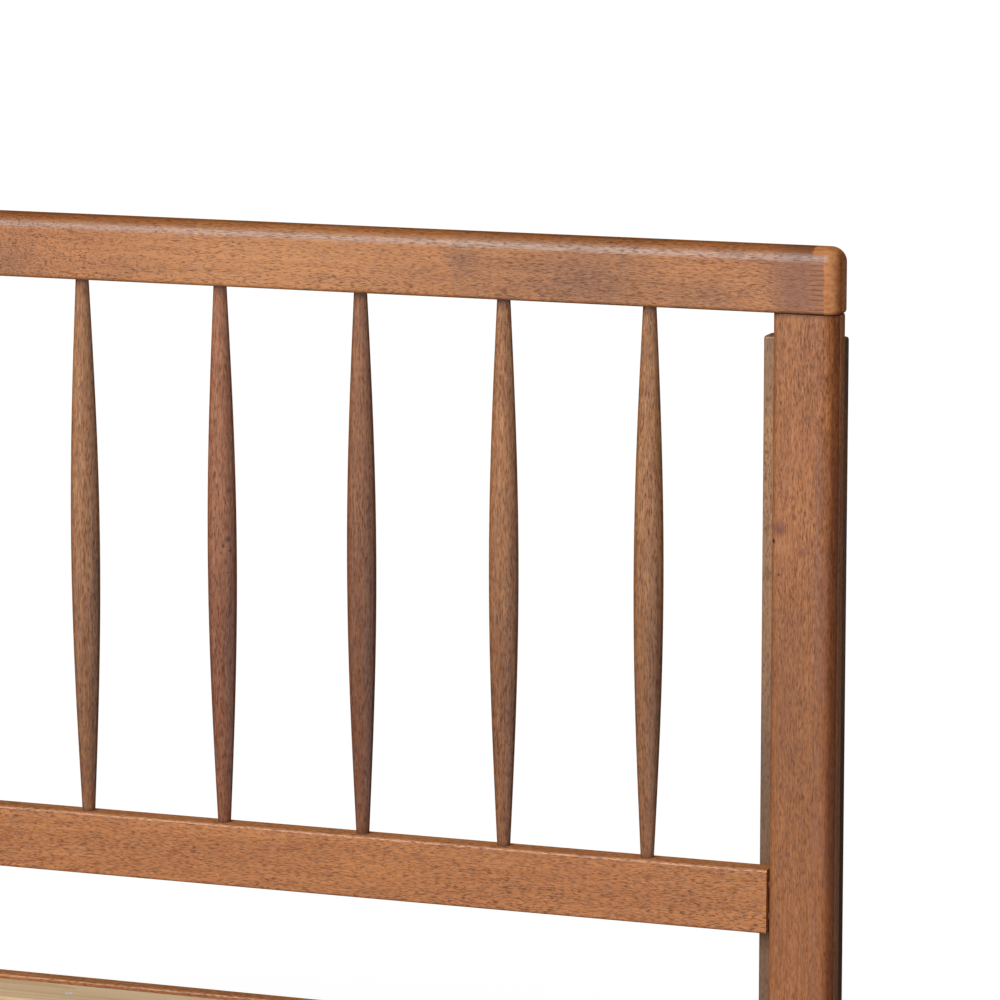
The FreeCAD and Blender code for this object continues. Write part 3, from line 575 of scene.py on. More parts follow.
def top_rail_details(finish, shade, wood):
    """The top rail's orange end blocks with finger joints, painted shade on its top and ends, and joint lines
    with painted shadow over the posts.
    """
    along = finish.aside("X")
    height = finish.part_of(finish.point, "Z")
    wander = finish.noise(finish.point, (60.0, 60.0, 260.0), detail=1.0)
    uneven = finish.noise(finish.point, (0.0, 0.0, 330.0), detail=1.0)
    stave_start, stave_end = STAVE_ENDS
    stave = finish.math("MINIMUM", finish.between(along, stave_start, stave_start + 0.008),
                        finish.between(along, stave_end, stave_end - 0.090))
    shade = finish.stain_and_shade(stave, shade, (0.88, 0.92, 0.99))
    shade = finish.coat(shade, finish.between(along, 0.745, 0.776, 0.0, 0.60), DARK_RAIL_END)

    # The end block, its inlay in the rail's top and the comb of finger joints between them
    block = finish.between(finish.math("MULTIPLY_ADD", wander, 0.003, along),
                           BLOCK_START, BLOCK_START + 0.0015)
    inlay = finish.times(finish.between(height, 1.0925, 1.0935),
                         finish.between(along, INLAY_START, INLAY_START + 0.0010))
    fingers = finish.between(finish.math("MULTIPLY_ADD", uneven, -0.024, along),
                             FINGERS_START, FINGERS_START + 0.0025)
    tint = finish.math("MAXIMUM", finish.times(fingers, 0.26), finish.math("MAXIMUM", block, inlay))
    grain = finish.between(finish.noise(wood, (70.0, 260.0, 260.0), detail=2.0), 0.35, 0.70)
    shade = finish.mix(tint, shade, finish.mix(grain, colour(*BLOCK_LIGHT), colour(*BLOCK_DARK)))
    row = finish.math("PINGPONG", finish.math("MULTIPLY_ADD", wander, 0.0012, height), FINGER_PITCH)
    glue = finish.times(finish.between(row, 0.0003, 0.0013, 1.0, 0.0), fingers)
    glue = finish.times(glue, finish.math("SUBTRACT", 1.0, block))
    glue = finish.times(glue, finish.between(height, 1.0880, 1.0840))
    shade = finish.coat(shade, finish.times(glue, finish.between(uneven, 0.35, 0.60, 0.50, 0.95)), GLUE_LINE)

    # Painted shade where the end turns away from the light, along the upper rounding and on the top
    rounded = finish.between(along, RAIL_END - 0.00015, RAIL_END - 0.0008)
    turning = finish.times(finish.between(along, 0.8150, 0.8205, 0.0, 0.80), rounded)
    shade = finish.stain_and_shade(turning, shade, (0.66, 0.50, 0.36))
    end_block = finish.math("MAXIMUM", finish.between(along, 0.8060, 0.8135), inlay)
    plain = finish.math("MULTIPLY_ADD", end_block, -0.75, 1.0)
    shoulder_shade = finish.math("MINIMUM", finish.between(height, SHOULDER_BOTTOM, SHOULDER_BOTTOM + 0.0037),
                           finish.between(height, SHOULDER_TOP, SHOULDER_TOP - 0.0046))
    shade = finish.stain_and_shade(finish.times(shoulder_shade, plain), shade, (0.66, 0.66, 0.67))
    # Painted shade on the top, which the light reaches less
    top = finish.math("ADD", finish.between(height, 1.0925, 1.0964, 0.0, 0.76),
                      finish.between(height, 1.0990, 1.0999, 0.0, 0.24))
    shade = finish.stain_and_shade(finish.times(top, plain), shade, (0.60, 0.51, 0.43))
    block_face = finish.times(block, finish.between(height, 1.0885, 1.0845))
    dull = finish.times(finish.math("MAXIMUM", end_block, block_face), 0.80)
    finish.matt = finish.times(dull, rounded)
    # A dark joint line with painted shadow along the rail's bottom over each post
    seam_and_shadow = finish.times(finish.between(along, POST_INNER - 0.0005, POST_INNER + 0.0005),
                        finish.between(height, RAIL_SEAM + 0.0010, RAIL_SEAM))
    return finish.coat(shade, finish.times(seam_and_shadow, 0.4), SEAM_AND_SHADOW)


# On the posts: the line between the two staves, and the plane of the front's rounded edges
STAVE_JOINT = 0.7985
POST_FRONT = 1.0162


def post_details(finish, shade, wood):
    """The posts' jointed staves, with painted shade lower down and on the front's rounded outer edge, and a
    joint line with painted shadow under the top rail.
    """
    along = finish.aside("X")
    height = finish.part_of(finish.point, "Z")
    # Painted shade: the posts darker towards the bottom
    shade = finish.coat(shade, finish.between(height, 0.90, 0.62, 0.0, 0.30), LOWER_POST_SHADE)
    outer = finish.times(finish.between(along, STAVE_JOINT - 0.0005, STAVE_JOINT + 0.0005),
                         finish.between(height, 0.930, 0.880, 0.25, 1.0))
    patches = finish.between(finish.noise(wood, (14.0, 60.0, 60.0), detail=2.0), 0.35, 0.65, 0.10, 0.40)
    shade = finish.coat(shade, finish.times(outer, patches), OUTER_STAVE)
    from_joint = finish.math("ABSOLUTE", finish.math("SUBTRACT", along, STAVE_JOINT))
    shade = finish.coat(shade, finish.between(from_joint, 0.0, 0.0007, 0.30, 0.0), STAVE_LINE)
    # Painted shade on the front's rounded outer edge, where it turns from the light; that edge is also less
    # glossy
    front = finish.between(finish.part_of(finish.point, "Y"), POST_FRONT + 0.0010, POST_FRONT)
    turning = finish.times(finish.between(along, 0.8060, 0.8165), front)
    shade = finish.stain_and_shade(turning, shade, (0.52, 0.40, 0.31))
    finish.matt = finish.times(finish.between(along, STAVE_JOINT, 0.8090, 0.0, 0.85), front)
    # A dark joint line with painted shadow on the post's top, under the rail
    seam_and_shadow = finish.between(height, POST_SEAM - 0.0010, POST_SEAM)
    return finish.coat(shade, finish.times(seam_and_shadow, 0.4), SEAM_AND_SHADOW)


# On the right post: centre, radii, depth and tone of its soft spots, and centre, radii and tone of its holes
POST_SPOTS = [
    ((0.7640, 1.0095, 0.800), (0.0140, 0.02, 0.0160), 0.50, PALE_ROUND_KNOT),
    ((0.7607, 1.0095, 0.818), (0.0100, 0.02, 0.0105), 0.90, KNOT),
    ((0.7836, 1.0095, 0.796), (0.0080, 0.02, 0.0070), 0.75, SECOND_KNOT),
]
POST_HOLES = [
    ((0.7540, 1.0095, 0.805), (0.0026, 0.02, 0.0034), KNOT_HOLE),
    ((0.7605, 1.0095, 0.772), (0.0016, 0.02, 0.0018), PIN_HOLE),
]


def right_post_details(finish, shade, wood):
    """The right post has a small knot near its left edge as well, with pale wood round it."""
    for centre, radii, depth, tone in POST_SPOTS:
        shade = finish.coat(shade, finish.times(finish.spot(finish.point, centre, radii), depth), tone)
    for centre, radii, tone in POST_HOLES:
        shade = finish.coat(shade, finish.between(finish.spot(finish.point, centre, radii), 0.0, 0.6), tone)
    return post_details(finish, shade, wood)


# Dark smudges on the right leg's inner edge: centre and radii
LEG_SMUDGES = [
    ((0.7412, 1.0305, 0.767), (0.006, 0.012, 0.011)),
    ((0.7400, 1.0305, 0.812), (0.003, 0.012, 0.009)),
]


def leg_staves(finish, shade, wood):
    """The leg boards' jointed staves: greyer above the joint, with painted shade lower down and on the outer
    side.
    """
    height = finish.part_of(finish.point, "Z")
    # Painted shade: darker towards the bottom
    shade = finish.coat(shade, finish.between(height, 0.90, 0.55, 0.10, 0.60), LOWER_LEG_SHADE)
    upper = finish.between(height, 0.9362, 0.9366)
    shade = finish.coat(shade, finish.times(upper, 0.40), UPPER_LEG)
    for centre, radii in LEG_SMUDGES:
        shade = finish.stain_and_shade(finish.spot(finish.point, centre, radii), shade, (0.30, 0.28, 0.28))
    # Painted shade on the outer side
    outer_side_shade = finish.between(finish.aside("X"), LEG_OUTER - 0.0015, LEG_OUTER - 0.0005)
    shade = finish.stain_and_shade(outer_side_shade, shade, (0.64, 0.68, 0.78))
    # More painted shade near the floor
    return finish.stain_and_shade(finish.between(height, 0.70, 0.54), shade, (0.66, 0.68, 0.72))


# The height of the spindles' middle, and how far their shoulders are from it
SPINDLE_MIDDLE_HEIGHT = 0.752
SPINDLE_SHOULDER_START = 0.2765


def turned_ends(finish, shade, wood):
    """Stain and painted shadow gathered at a spindle's two ends where they meet the rails, painted shade over
    its lower half, and faint rings from turning.
    """
    height = finish.part_of(finish.point, "Z")
    from_middle = finish.math("ABSOLUTE", finish.math("SUBTRACT", height, SPINDLE_MIDDLE_HEIGHT))
    # Painted shade: the lower half darker
    shade = finish.stain_and_shade(finish.between(height, 0.92, 0.58), shade, (0.68, 0.68, 0.80))
    # Stain at the shoulders with painted shadow where they meet the rails
    end = finish.between(from_middle, SPINDLE_SHOULDER_START, SPINDLE_SHOULDER_START + 0.0045, 0.0, 0.55)
    shade = finish.coat(shade, end, SHOULDER_STAIN_AND_SHADOW)
    lines = finish.between(finish.noise(finish.point, (30.0, 30.0, 900.0), detail=0.0), 0.52, 0.72)
    near_end = finish.between(from_middle, 0.12, 0.25, 0.02, 0.12)
    return finish.coat(shade, finish.times(lines, near_end), TURNING_LINE)


# The spindle with a group of small knots, and the knots from its axis: place, radii and depth of tone
KNOTTY_SPINDLE = "headboard_spindle_6"
SPINDLE_KNOTS = [
    ((0.0110, -0.0102, 0.771), (0.0050, 0.0060, 0.0052), 0.45),
    ((0.0112, -0.0100, 0.7705), (0.0020, 0.0040, 0.0022), 0.8),
    ((0.0067, -0.0134, 0.764), (0.0022, 0.0040, 0.0026), 0.7),
    ((0.0122, -0.0087, 0.759), (0.0018, 0.0040, 0.0022), 0.8),
    ((-0.0010, -0.0150, 0.762), (0.0010, 0.0040, 0.0050), 0.7),
    ((0.0052, -0.0141, 0.757), (0.0012, 0.0040, 0.0026), 0.6),
    ((0.0108, -0.0104, 0.736), (0.0015, 0.0040, 0.0016), 0.7),
    ((0.0090, -0.0120, 0.748), (0.0026, 0.0050, 0.0034), 0.35),
]


def knotty_spindle(finish, shade, wood):
    """A group of small dark knots at the middle of one spindle, with paler wood round them."""
    low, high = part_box(KNOTTY_SPINDLE)
    axis = (low + high) / 2
    pale = finish.spot(finish.point, (axis.x + 0.004, low.y, SPINDLE_MIDDLE_HEIGHT), (0.014, 0.02, 0.022))
    shade = finish.coat(shade, finish.times(pale, 0.35), PALE_SPINDLE)
    for (x, y, z), radii, depth in SPINDLE_KNOTS:
        knot = finish.spot(finish.point, (axis.x + x, axis.y + y, z), radii)
        shade = finish.coat(shade, finish.between(knot, 0.0, 0.6, 0.0, depth), SPINDLE_KNOT)
    return turned_ends(finish, shade, wood)


def plain_wood(name, grain, pith, light, dark, line, roughness=0.6, knots=()):
    """Unstained or thinly oiled softwood: clear year rings, fine fibres and knots."""
    finish = Finish(name)
    local = finish.place(finish.point, pith, GRAIN_TURNS[grain])
    bend = finish.noise(local, (1.6, 7.0, 7.0), detail=2.0, colour_out=True)
    wood = finish.push(local, bend, 0.030)
    rings = finish.year_rings(wood, 62.0)
    ground = finish.between(finish.noise(wood, (3.0, 22.0, 22.0), detail=3.0), 0.35, 0.68)
    fibres = finish.noise(wood, (40.0, 1100.0, 1100.0), detail=2.0)
    shade = finish.mix(ground, colour(*light), colour(*dark))
    shade = finish.coat(shade, finish.times(finish.between(rings, 0.45, 1.0), 0.55), line)
    shade = finish.coat(shade, finish.between(fibres, 0.45, 0.75, 0.0, 0.25), dark)
    for centre, radii in knots:
        knot = finish.spot(finish.point, centre, radii)
        shade = finish.coat(shade, finish.between(knot, 0.15, 0.65), SOFTWOOD_KNOT)
    edge = finish.add("Attribute", attribute_name="edge").outputs["Fac"]
    shade = finish.coat(shade, finish.times(edge, 0.25), light)
    finish.put(finish.shader.inputs["Base Color"], shade)
    finish.feel(finish.between(fibres, 0.3, 0.8, roughness - 0.06, roughness + 0.10), fibres, 0.35, 0.0003)
    finish.shader.inputs["Specular IOR Level"].default_value = 0.3
    return finish.material


def zinc_steel():
    """Zinc-plated steel: small cloudy crystals and fine scratches."""
    finish = Finish("zinc_steel")
    cloud = finish.noise(finish.point, (130.0, 130.0, 130.0), detail=3.0)
    scratch = finish.noise(finish.point, (400.0, 2600.0, 900.0), detail=1.0)
    shade = finish.mix(finish.between(cloud, 0.35, 0.68), colour(196, 198, 200), colour(160, 163, 168))
    finish.put(finish.shader.inputs["Base Color"], shade)
    finish.feel(finish.between(cloud, 0.30, 0.70, 0.30, 0.46), scratch, 0.15, 0.0001)
    finish.shader.inputs["Metallic"].default_value = 1.0
    return finish.material


def glide_plastic():
    """Black moulded plastic with a fine matt grain."""
    finish = Finish("glide_plastic")
    grain = finish.noise(finish.point, (1800.0, 1800.0, 1800.0), detail=1.0)
    dust = finish.noise(finish.point, (90.0, 90.0, 90.0), detail=2.0)
    shade = finish.mix(finish.between(dust, 0.40, 0.75), colour(34, 34, 35), colour(52, 51, 50))
    finish.put(finish.shader.inputs["Base Color"], shade)
    finish.feel(finish.between(grain, 0.3, 0.7, 0.48, 0.62), grain, 0.25, 0.0001)
    return finish.material


def make_top_rail():
    """The top rail: front, back and end edges rounded into one another, lower edges eased."""
    low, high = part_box("headboard_top_rail")
    rail = add_block("top_rail_board", low, high)
    round_edges(rail, lambda a, b: runs_along(a, b, Z) or both_at(a, b, Z, high.z),
                TOP_RAIL_ROUNDING, steps=10)
    round_edges(rail, lambda a, b: both_at(a, b, Z, low.z), TOP_RAIL_LOWER_ROUNDING, steps=4)
    marks = [
        ((0.770, low.y, 1.060), (0.050, 0.030, 0.050)),
        ((0.560, low.y, 1.056), (0.075, 0.030, 0.044)),
        ((0.690, low.y, 1.046), (0.070, 0.030, 0.030)),
        ((0.425, low.y, 1.072), (0.026, 0.030, 0.024)),
        ((-0.075, low.y, 1.052), (0.070, 0.030, 0.040)),
    ]
    pale_spots = [((0.22, low.y, 1.062), (0.26, 0.10, 0.10))]
    figure_spots = [((-0.04, low.y, 1.060), (0.24, 0.20, 0.20))]
    finish = stained_wood("top_rail_wood", "X", (0.3, low.y + 0.075, low.z - 0.030), fleck_share=0.62,
                          mottling=0.28, gloss_fall=(0.18, 0.36), marks=marks, pale_spots=pale_spots,
                          figure_spots=figure_spots, add_detail=top_rail_details)
    return finish_board(rail, finish, "walnut_stained_wood", "headboard_top_rail")


def make_lower_rail():
    low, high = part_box("headboard_lower_rail")
    rail = add_block("lower_rail_board", low, high)
    round_edges(rail, lambda a, b: runs_along(a, b, X), BOARD_ROUNDING, steps=4)
    finish = stained_wood("lower_rail_wood", "X", (2.1, low.y + 0.060, high.z + 0.045),
                          toned(WALNUT, 0.97, 0.97, 0.98))
    return finish_board(rail, finish, "walnut_stained_wood", "headboard_lower_rail")


def turned_spindle(name, x, y, bottom, top):
    """A turned spindle: a tenon at each end and a long swelling between them."""
    shoulder_low, shoulder_high = bottom + SPINDLE_TENON, top - SPINDLE_TENON
    half = (shoulder_high - shoulder_low) / 2
    tip = SPINDLE_END - SPINDLE_TENON_CHAMFER
    rings = [(bottom, tip), (bottom + SPINDLE_TENON_CHAMFER, SPINDLE_END), (shoulder_low, SPINDLE_END)]
    for t in spread(-1, 1, SPINDLE_CURVE_STEPS + 1)[1:-1]:
        swelling = (SPINDLE_MIDDLE - SPINDLE_END) * math.cos(math.pi * t / 2)
        rings.append((shoulder_low + half * (1 + t), SPINDLE_END + swelling))
    rings += [(shoulder_high, SPINDLE_END), (top - SPINDLE_TENON_CHAMFER, SPINDLE_END), (top, tip)]
    return draw_up(name, x, y, rings, sides=40)


# Shares of red, green and blue in each spindle's wood, from the left
SPINDLE_TONES = [
    (0.97, 0.99, 1.02), (0.93, 0.94, 0.98), (0.98, 1.00, 1.05), (0.93, 0.96, 1.01), (0.92, 0.97, 1.03),
    (0.88, 0.86, 0.95), (0.79, 0.78, 0.84), (0.92, 0.95, 0.99), (0.92, 0.96, 0.99),
]


def make_spindles():
    """Nine spindles, the first turned and the others copied from it, each of its own wood."""
    low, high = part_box("headboard_spindle_1")
    middle = (low + high) / 2
    first = turned_spindle("spindle_1", middle.x, middle.y, low.z, high.z)
    spindles = copy_along(first, "spindle_%d", "headboard_spindle_%d", len(SPINDLE_TONES), X)
    for k, spindle in enumerate(spindles):
        node = "headboard_spindle_%d" % (k + 1)
        turn = 2.4 * k
        pith = (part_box(node)[0].x + 0.05 * math.cos(turn), middle.y + 0.05 * math.sin(turn), 0.37 * k)
        details = knotty_spindle if node == KNOTTY_SPINDLE else turned_ends
        finish = stained_wood("spindle_wood_%d" % (k + 1), "Z", pith, toned(WALNUT, *SPINDLE_TONES[k]),
                              fleck_share=0.62, fleck_rate=125.0, rub_share=0.0, mottling=0.40,
                              streaking=(26.0, 360.0, 0.74), sheen=0.012, add_detail=details)
        finish_board(spindle, finish, "walnut_stained_wood", node, angle=60)


def make_posts():
    """The posts: broadly rounded in front, less behind, eased at their ends."""
    for side, name in SIDES:
        low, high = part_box("headboard_post_" + name)
        post = add_block("post_" + name, low, high)
        round_edges(post, lambda a, b: runs_along(a, b, Z) and both_at(a, b, Y, low.y),
                    POST_FRONT_ROUNDING, steps=9)
        round_edges(post, lambda a, b: runs_along(a, b, Z) and both_at(a, b, Y, high.y),
                    POST_BACK_ROUNDING, steps=6)
        round_edges(post, lambda a, b: both_at(a, b, Z, low.z) or both_at(a, b, Z, high.z),
                    EASING, steps=3)
        pith = (side * 0.79, low.y + 0.09, 0.9 * side + 1.3)
        marks = [((side * 0.8035, low.y, 0.868), (0.009, 0.03, 0.060))]
        finish = stained_wood("post_wood_" + name, "Z", pith, toned(WALNUT, 0.905, 0.885, 0.895),
                              fleck_share=0.56, fleck_rate=150.0, streaking=(32.0, 460.0, 0.78), sheen=0.012,
                              marks=marks, add_detail=right_post_details if side > 0 else post_details)
        finish_board(post, finish, "walnut_stained_wood", "headboard_post_" + name)


# Turns that point an upright screw's head another way: its head faces the side named
HEAD_TURNS = {
    "up": (0, 0, 0), "back": (-math.pi / 2, 0, 0), "front": (math.pi / 2, 0, 0),
    "left": (0, -math.pi / 2, 0), "right": (0, math.pi / 2, 0),
}


def inward_turn(side):
    """The turn of a head on the left (-1) or right (1) half that faces the bed's middle."""
    return HEAD_TURNS["left" if side > 0 else "right"]


def screw_seat(mouth, turn):
    """A cutter for one countersunk screw head."""
    deselect_all()
    bpy.ops.mesh.primitive_cone_add(vertices=32, radius1=0.0022, radius2=0.0043, depth=0.0026,
                                    location=(0, 0, -0.0011))
    settle()
    cutter = bpy.context.active_object
    cutter.location = mouth
    cutter.rotation_euler = turn
    settle()
    return cutter


def make_headboard_legs():
    """The headboard's legs: boards behind the posts, countersunk at the back for the cross rail's screws."""
    for side, name in SIDES:
        low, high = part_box("headboard_leg_" + name)
        leg = add_block("headboard_leg_board_" + name, low, high)
        round_edges(leg, lambda a, b: runs_along(a, b, Z) or both_at(a, b, Z, high.z),
                    BOARD_ROUNDING, steps=4)
        cut_away(leg, [screw_seat((side * LEG_SCREW_LINE, LEG_BACK, z), HEAD_TURNS["back"])
                       for z in LEG_SCREW_HEIGHTS])
        finish = stained_wood("headboard_leg_wood_" + name, "Z", (side * 0.84, high.y + 0.05, 0.4 * side),
                              toned(WALNUT, 0.90, 1.00, 1.12), add_detail=leg_staves)
        finish_board(leg, finish, "walnut_stained_wood", "headboard_leg_" + name)


def make_side_rails():
    """The side rails, bored from inside for the barrel nuts."""
    for side, name in SIDES:
        low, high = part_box("side_rail_" + name)
        rail = add_block("side_rail_board_" + name, low, high)
        round_edges(rail, lambda a, b: runs_along(a, b, Y) and both_at(a, b, Z, high.z),
                    SIDE_RAIL_ROUNDING, steps=6)
        round_edges(rail, lambda a, b: runs_along(a, b, Y) and both_at(a, b, Z, low.z), EASING, steps=3)
        holes = []
        for z in SIDE_BOLT_HEIGHTS:
            hole = add_rod("nut_hole", (0, 0, -0.0215), 0.0071, 0.0315)
            hole.rotation_euler = inward_turn(side)
            hole.location = (side * RAIL_INNER, BARREL_NUT_Y, z)
            take_up(hole)
            settle()
            holes.append(hole)
        cut_away(rail, holes)
        finish = stained_wood("side_rail_wood_" + name, "Y", (side * 0.84, 2.0 + side, low.z - 0.02),
                              toned(WALNUT, 0.99, 0.98, 0.98))
        finish_board(rail, finish, "walnut_stained_wood", "side_rail_" + name)


def make_foot_rail():
    low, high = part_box("foot_rail")
    rail = add_block("foot_rail_board", low, high)
    round_edges(rail, lambda a, b: (runs_along(a, b, Z) or both_at(a, b, Z, high.z))
                and not both_at(a, b, Y, high.y), FOOT_RAIL_ROUNDING, steps=8)
    round_edges(rail, lambda a, b: both_at(a, b, Z, low.z), EASING, steps=3)
    finish = stained_wood("foot_rail_wood", "X", (4.4, low.y + 0.10, low.z + 0.02),
                          toned(WALNUT, 1.0, 0.99, 0.98))
    return finish_board(rail, finish, "walnut_stained_wood", "foot_rail")


def make_foot_legs():
    """Foot legs: a square block, drawn down to a toe that keeps to the outer corner."""
    for side, name in SIDES:
        low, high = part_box("foot_leg_" + name)
        leg = add_block("foot_leg_board_" + name, (low.x, low.y, FOOT_LEG_SHOULDER), high)
        take_up(leg)
        bpy.ops.object.mode_set(mode="EDIT")
        select_faces(leg, lambda centre, normal: normal.z < -0.9)
        extrude_up(low.z - FOOT_LEG_SHOULDER)
        narrow(FOOT_LEG_TOE / FOOT_LEG_WIDTH, (side * RAIL_INNER, low.y, low.z))
        bpy.ops.object.mode_set(mode="OBJECT")
        round_edges(leg, lambda a, b: runs_along(a, b, Z), FOOT_LEG_ROUNDING, steps=5)
        round_edges(leg, lambda a, b: both_at(a, b, Z, low.z) or both_at(a, b, Z, high.z),
                    FINE_EASING, steps=2)
        finish = stained_wood("foot_leg_wood_" + name, "Z", (side * 0.70, low.y + 0.08, 0.5 * side),
                              toned(WALNUT, 0.97, 0.95, 0.95))
        finish_board(leg, finish, "walnut_stained_wood", "foot_leg_" + name)


def make_cross_rail():
    low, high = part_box("cross_rail")
    rail = add_block("cross_rail_board", low, high)
    round_edges(rail, lambda a, b: runs_along(a, b, X), EASING, steps=3)
    finish = stained_wood("cross_rail_wood", "X", (5.0, low.y + 0.06, low.z - 0.03),
                          toned(WALNUT, 0.94, 0.94, 0.95))
    return finish_board(rail, finish, "walnut_stained_wood", "cross_rail")


def make_cleats():
    """The cleats along the side rails, countersunk on their inner faces."""
    for side, name in SIDES:
        low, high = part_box("slat_cleat_" + name)
        cleat = add_block("slat_cleat_bar_" + name, low, high)
        round_edges(cleat, lambda a, b: runs_along(a, b, Y), FINE_EASING, steps=2)
        inner = min(abs(low.x), abs(high.x))
        cut_away(cleat, [screw_seat((side * inner, y, CLEAT_SCREW_HEIGHT), inward_turn(side))
                         for y in spread(*CLEAT_SCREW_ENDS, CLEAT_SCREWS_PER_SIDE)])
        finish = stained_wood("cleat_wood_" + name, "Y", (side * 0.70, 3.0 + side, low.z - 0.05),
                              toned(WALNUT, 0.90, 0.90, 0.90), roughness=0.45)
        finish_board(cleat, finish, "frame_wood", "slat_cleat_" + name)


def make_centre_beam():
    low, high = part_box("centre_beam")
    beam = add_block("centre_beam_bar", low, high)
    round_edges(beam, lambda a, b: runs_along(a, b, Y), FINE_EASING, steps=2)
    finish = stained_wood("centre_beam_wood", "Y", (0.06, 3.6, low.z - 0.03), toned(WALNUT, 0.92, 0.92, 0.92),
                          roughness=0.45)
    return finish_board(beam, finish, "frame_wood", "centre_beam")


def make_centre_legs():
    """Three centre legs, the first made and bored, the others copied."""
    low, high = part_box("centre_leg_1")
    middle = (low + high) / 2
    first = add_block("centre_leg_bar_1", low, high)
    round_edges(first, lambda a, b: runs_along(a, b, Z), EASING, steps=3)
    insert_hole = add_rod("insert_hole", (middle.x, middle.y, low.z - 0.005), 0.0061, 0.021)
    stem_hole = add_rod("stem_hole", (middle.x, middle.y, low.z + 0.010), 0.0045, 0.035)
    cut_away(first, [insert_hole])
    cut_away(first, [stem_hole])
    for k, leg in enumerate(copy_along(first, "centre_leg_bar_%d", "centre_leg_%d", CENTRE_LEG_COUNT, Y)):
        pith = (0.05, leg.bound_box[0][1] - 0.03, 0.6 * k)
        finish = stained_wood("centre_leg_wood_%d" % (k + 1), "Z", pith, toned(WALNUT, 0.92, 0.92, 0.92),
                              roughness=0.45)
        finish_board(leg, finish, "frame_wood", "centre_leg_%d" % (k + 1))


# Light and dark tones of five kinds of slat, and the line of their year rings
SLAT_RING_LINE = (176, 134, 84)
SLAT_LOOKS = [
    ((214, 184, 138), (200, 166, 118)), ((206, 176, 130), (192, 158, 112)),
    ((218, 190, 146), (204, 172, 124)), ((209, 178, 132), (196, 160, 112)),
    ((212, 184, 142), (198, 166, 122)),
]


def make_slats():
    """Fourteen slats: one board made and countersunk, the others copied, each of its own wood."""
    low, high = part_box("slat_1")
    middle = (low + high) / 2
    first = add_block("slat_board_1", low, high)
    round_edges(first, lambda a, b: runs_along(a, b, X), BOARD_ROUNDING, steps=4)
    round_edges(first, lambda a, b: both_at(a, b, X, low.x) or both_at(a, b, X, high.x),
                SLAT_END_EASING, steps=1)
    cut_away(first, [screw_seat((x, middle.y, high.z), HEAD_TURNS["up"])
                     for x in (-SLAT_SCREW_LINE, 0, SLAT_SCREW_LINE)])
    for k, slat in enumerate(copy_along(first, "slat_board_%d", "slat_%d", SLAT_COUNT, Y)):
        slat_low, slat_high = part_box("slat_%d" % (k + 1))
        light, dark = SLAT_LOOKS[k * 3 % 5]
        knots = []
        if k % 3 != 1:
            knot_x = (-1 if k % 2 else 1) * (0.15 + 0.117 * (k * 5 % 7))
            knot_y = (slat_low.y + slat_high.y) / 2 + 0.009 * (k % 4) - 0.014
            knots.append(((knot_x, knot_y, high.z), (0.012, 0.008, 0.02)))
        pith = (0.9 * k, slat_low.y + 0.010 * (k * 4 % 9), low.z - 0.05 - 0.01 * (k % 3))
        finish = plain_wood("slat_wood_%d" % (k + 1), "X", pith, light, dark, SLAT_RING_LINE, knots=knots)
        finish_board(slat, finish, "slat_wood", "slat_%d" % (k + 1))


def fitting(parts, name, node, slot, material, body="bed_frame", angle=35):
    """Joins like parts to one piece and puts it in its node's place."""
    return finish_board(join_pieces(parts, name), material, slot, node, body=body, angle=angle)


def screw_pattern(length):
    """A countersunk screw, its head's face at the origin and its tip below, with a cross recess."""
    neck = (0, 0, -SCREW_HEAD_HEIGHT)
    screw = add_rod("screw_pattern", neck, SCREW_HEAD_RADIUS, SCREW_HEAD_HEIGHT, sides=24)
    take_up(screw)
    bpy.ops.object.mode_set(mode="EDIT")
    select_faces(screw, lambda centre, normal: normal.z < -0.9)
    narrow(SCREW_RADIUS / SCREW_HEAD_RADIUS, neck)
    extrude_up(SCREW_HEAD_HEIGHT + SCREW_TIP - length)
    extrude_up(-SCREW_TIP)
    narrow(0.05, (0, 0, -length))
    bpy.ops.object.mode_set(mode="OBJECT")
    for half_x, half_y in ((0.0019, 0.0004), (0.0004, 0.0019)):
        cut_away(screw, [add_block("cross_arm", (-half_x, -half_y, -0.0013), (half_x, half_y, 0.001))])
    return screw


def bolt_pattern(length):
    """A connector bolt: flat head with a softened rim and a hexagon socket, and a shank below."""
    bolt = add_rod("bolt_pattern", (0, 0, 0), BOLT_HEAD_RADIUS, BOLT_HEAD_HEIGHT, sides=40)
    round_edges(bolt, lambda a, b: both_at(a, b, Z, BOLT_HEAD_HEIGHT), 0.0008, steps=3)
    take_up(bolt)
    bpy.ops.object.mode_set(mode="EDIT")
    select_faces(bolt, lambda centre, normal: normal.z < -0.9)
    bpy.ops.mesh.inset(thickness=BOLT_HEAD_RADIUS - BOLT_RADIUS, depth=0)
    extrude_up(-length)
    bpy.ops.object.mode_set(mode="OBJECT")
    socket_radius = BOLT_SOCKET_WIDTH / math.sqrt(3)
    cut_away(bolt, [add_rod("socket", (0, 0, BOLT_SOCKET_FLOOR), socket_radius, 0.004, sides=6)])
    return bolt


def place_copies(pattern, spots):
    """Copies of a pattern at (place, turn) each; the pattern itself is taken away."""
    copies = [copy_piece(pattern, pattern.name + "_copy", place, turn) for place, turn in spots]
    bpy.data.objects.remove(pattern)
    return copies


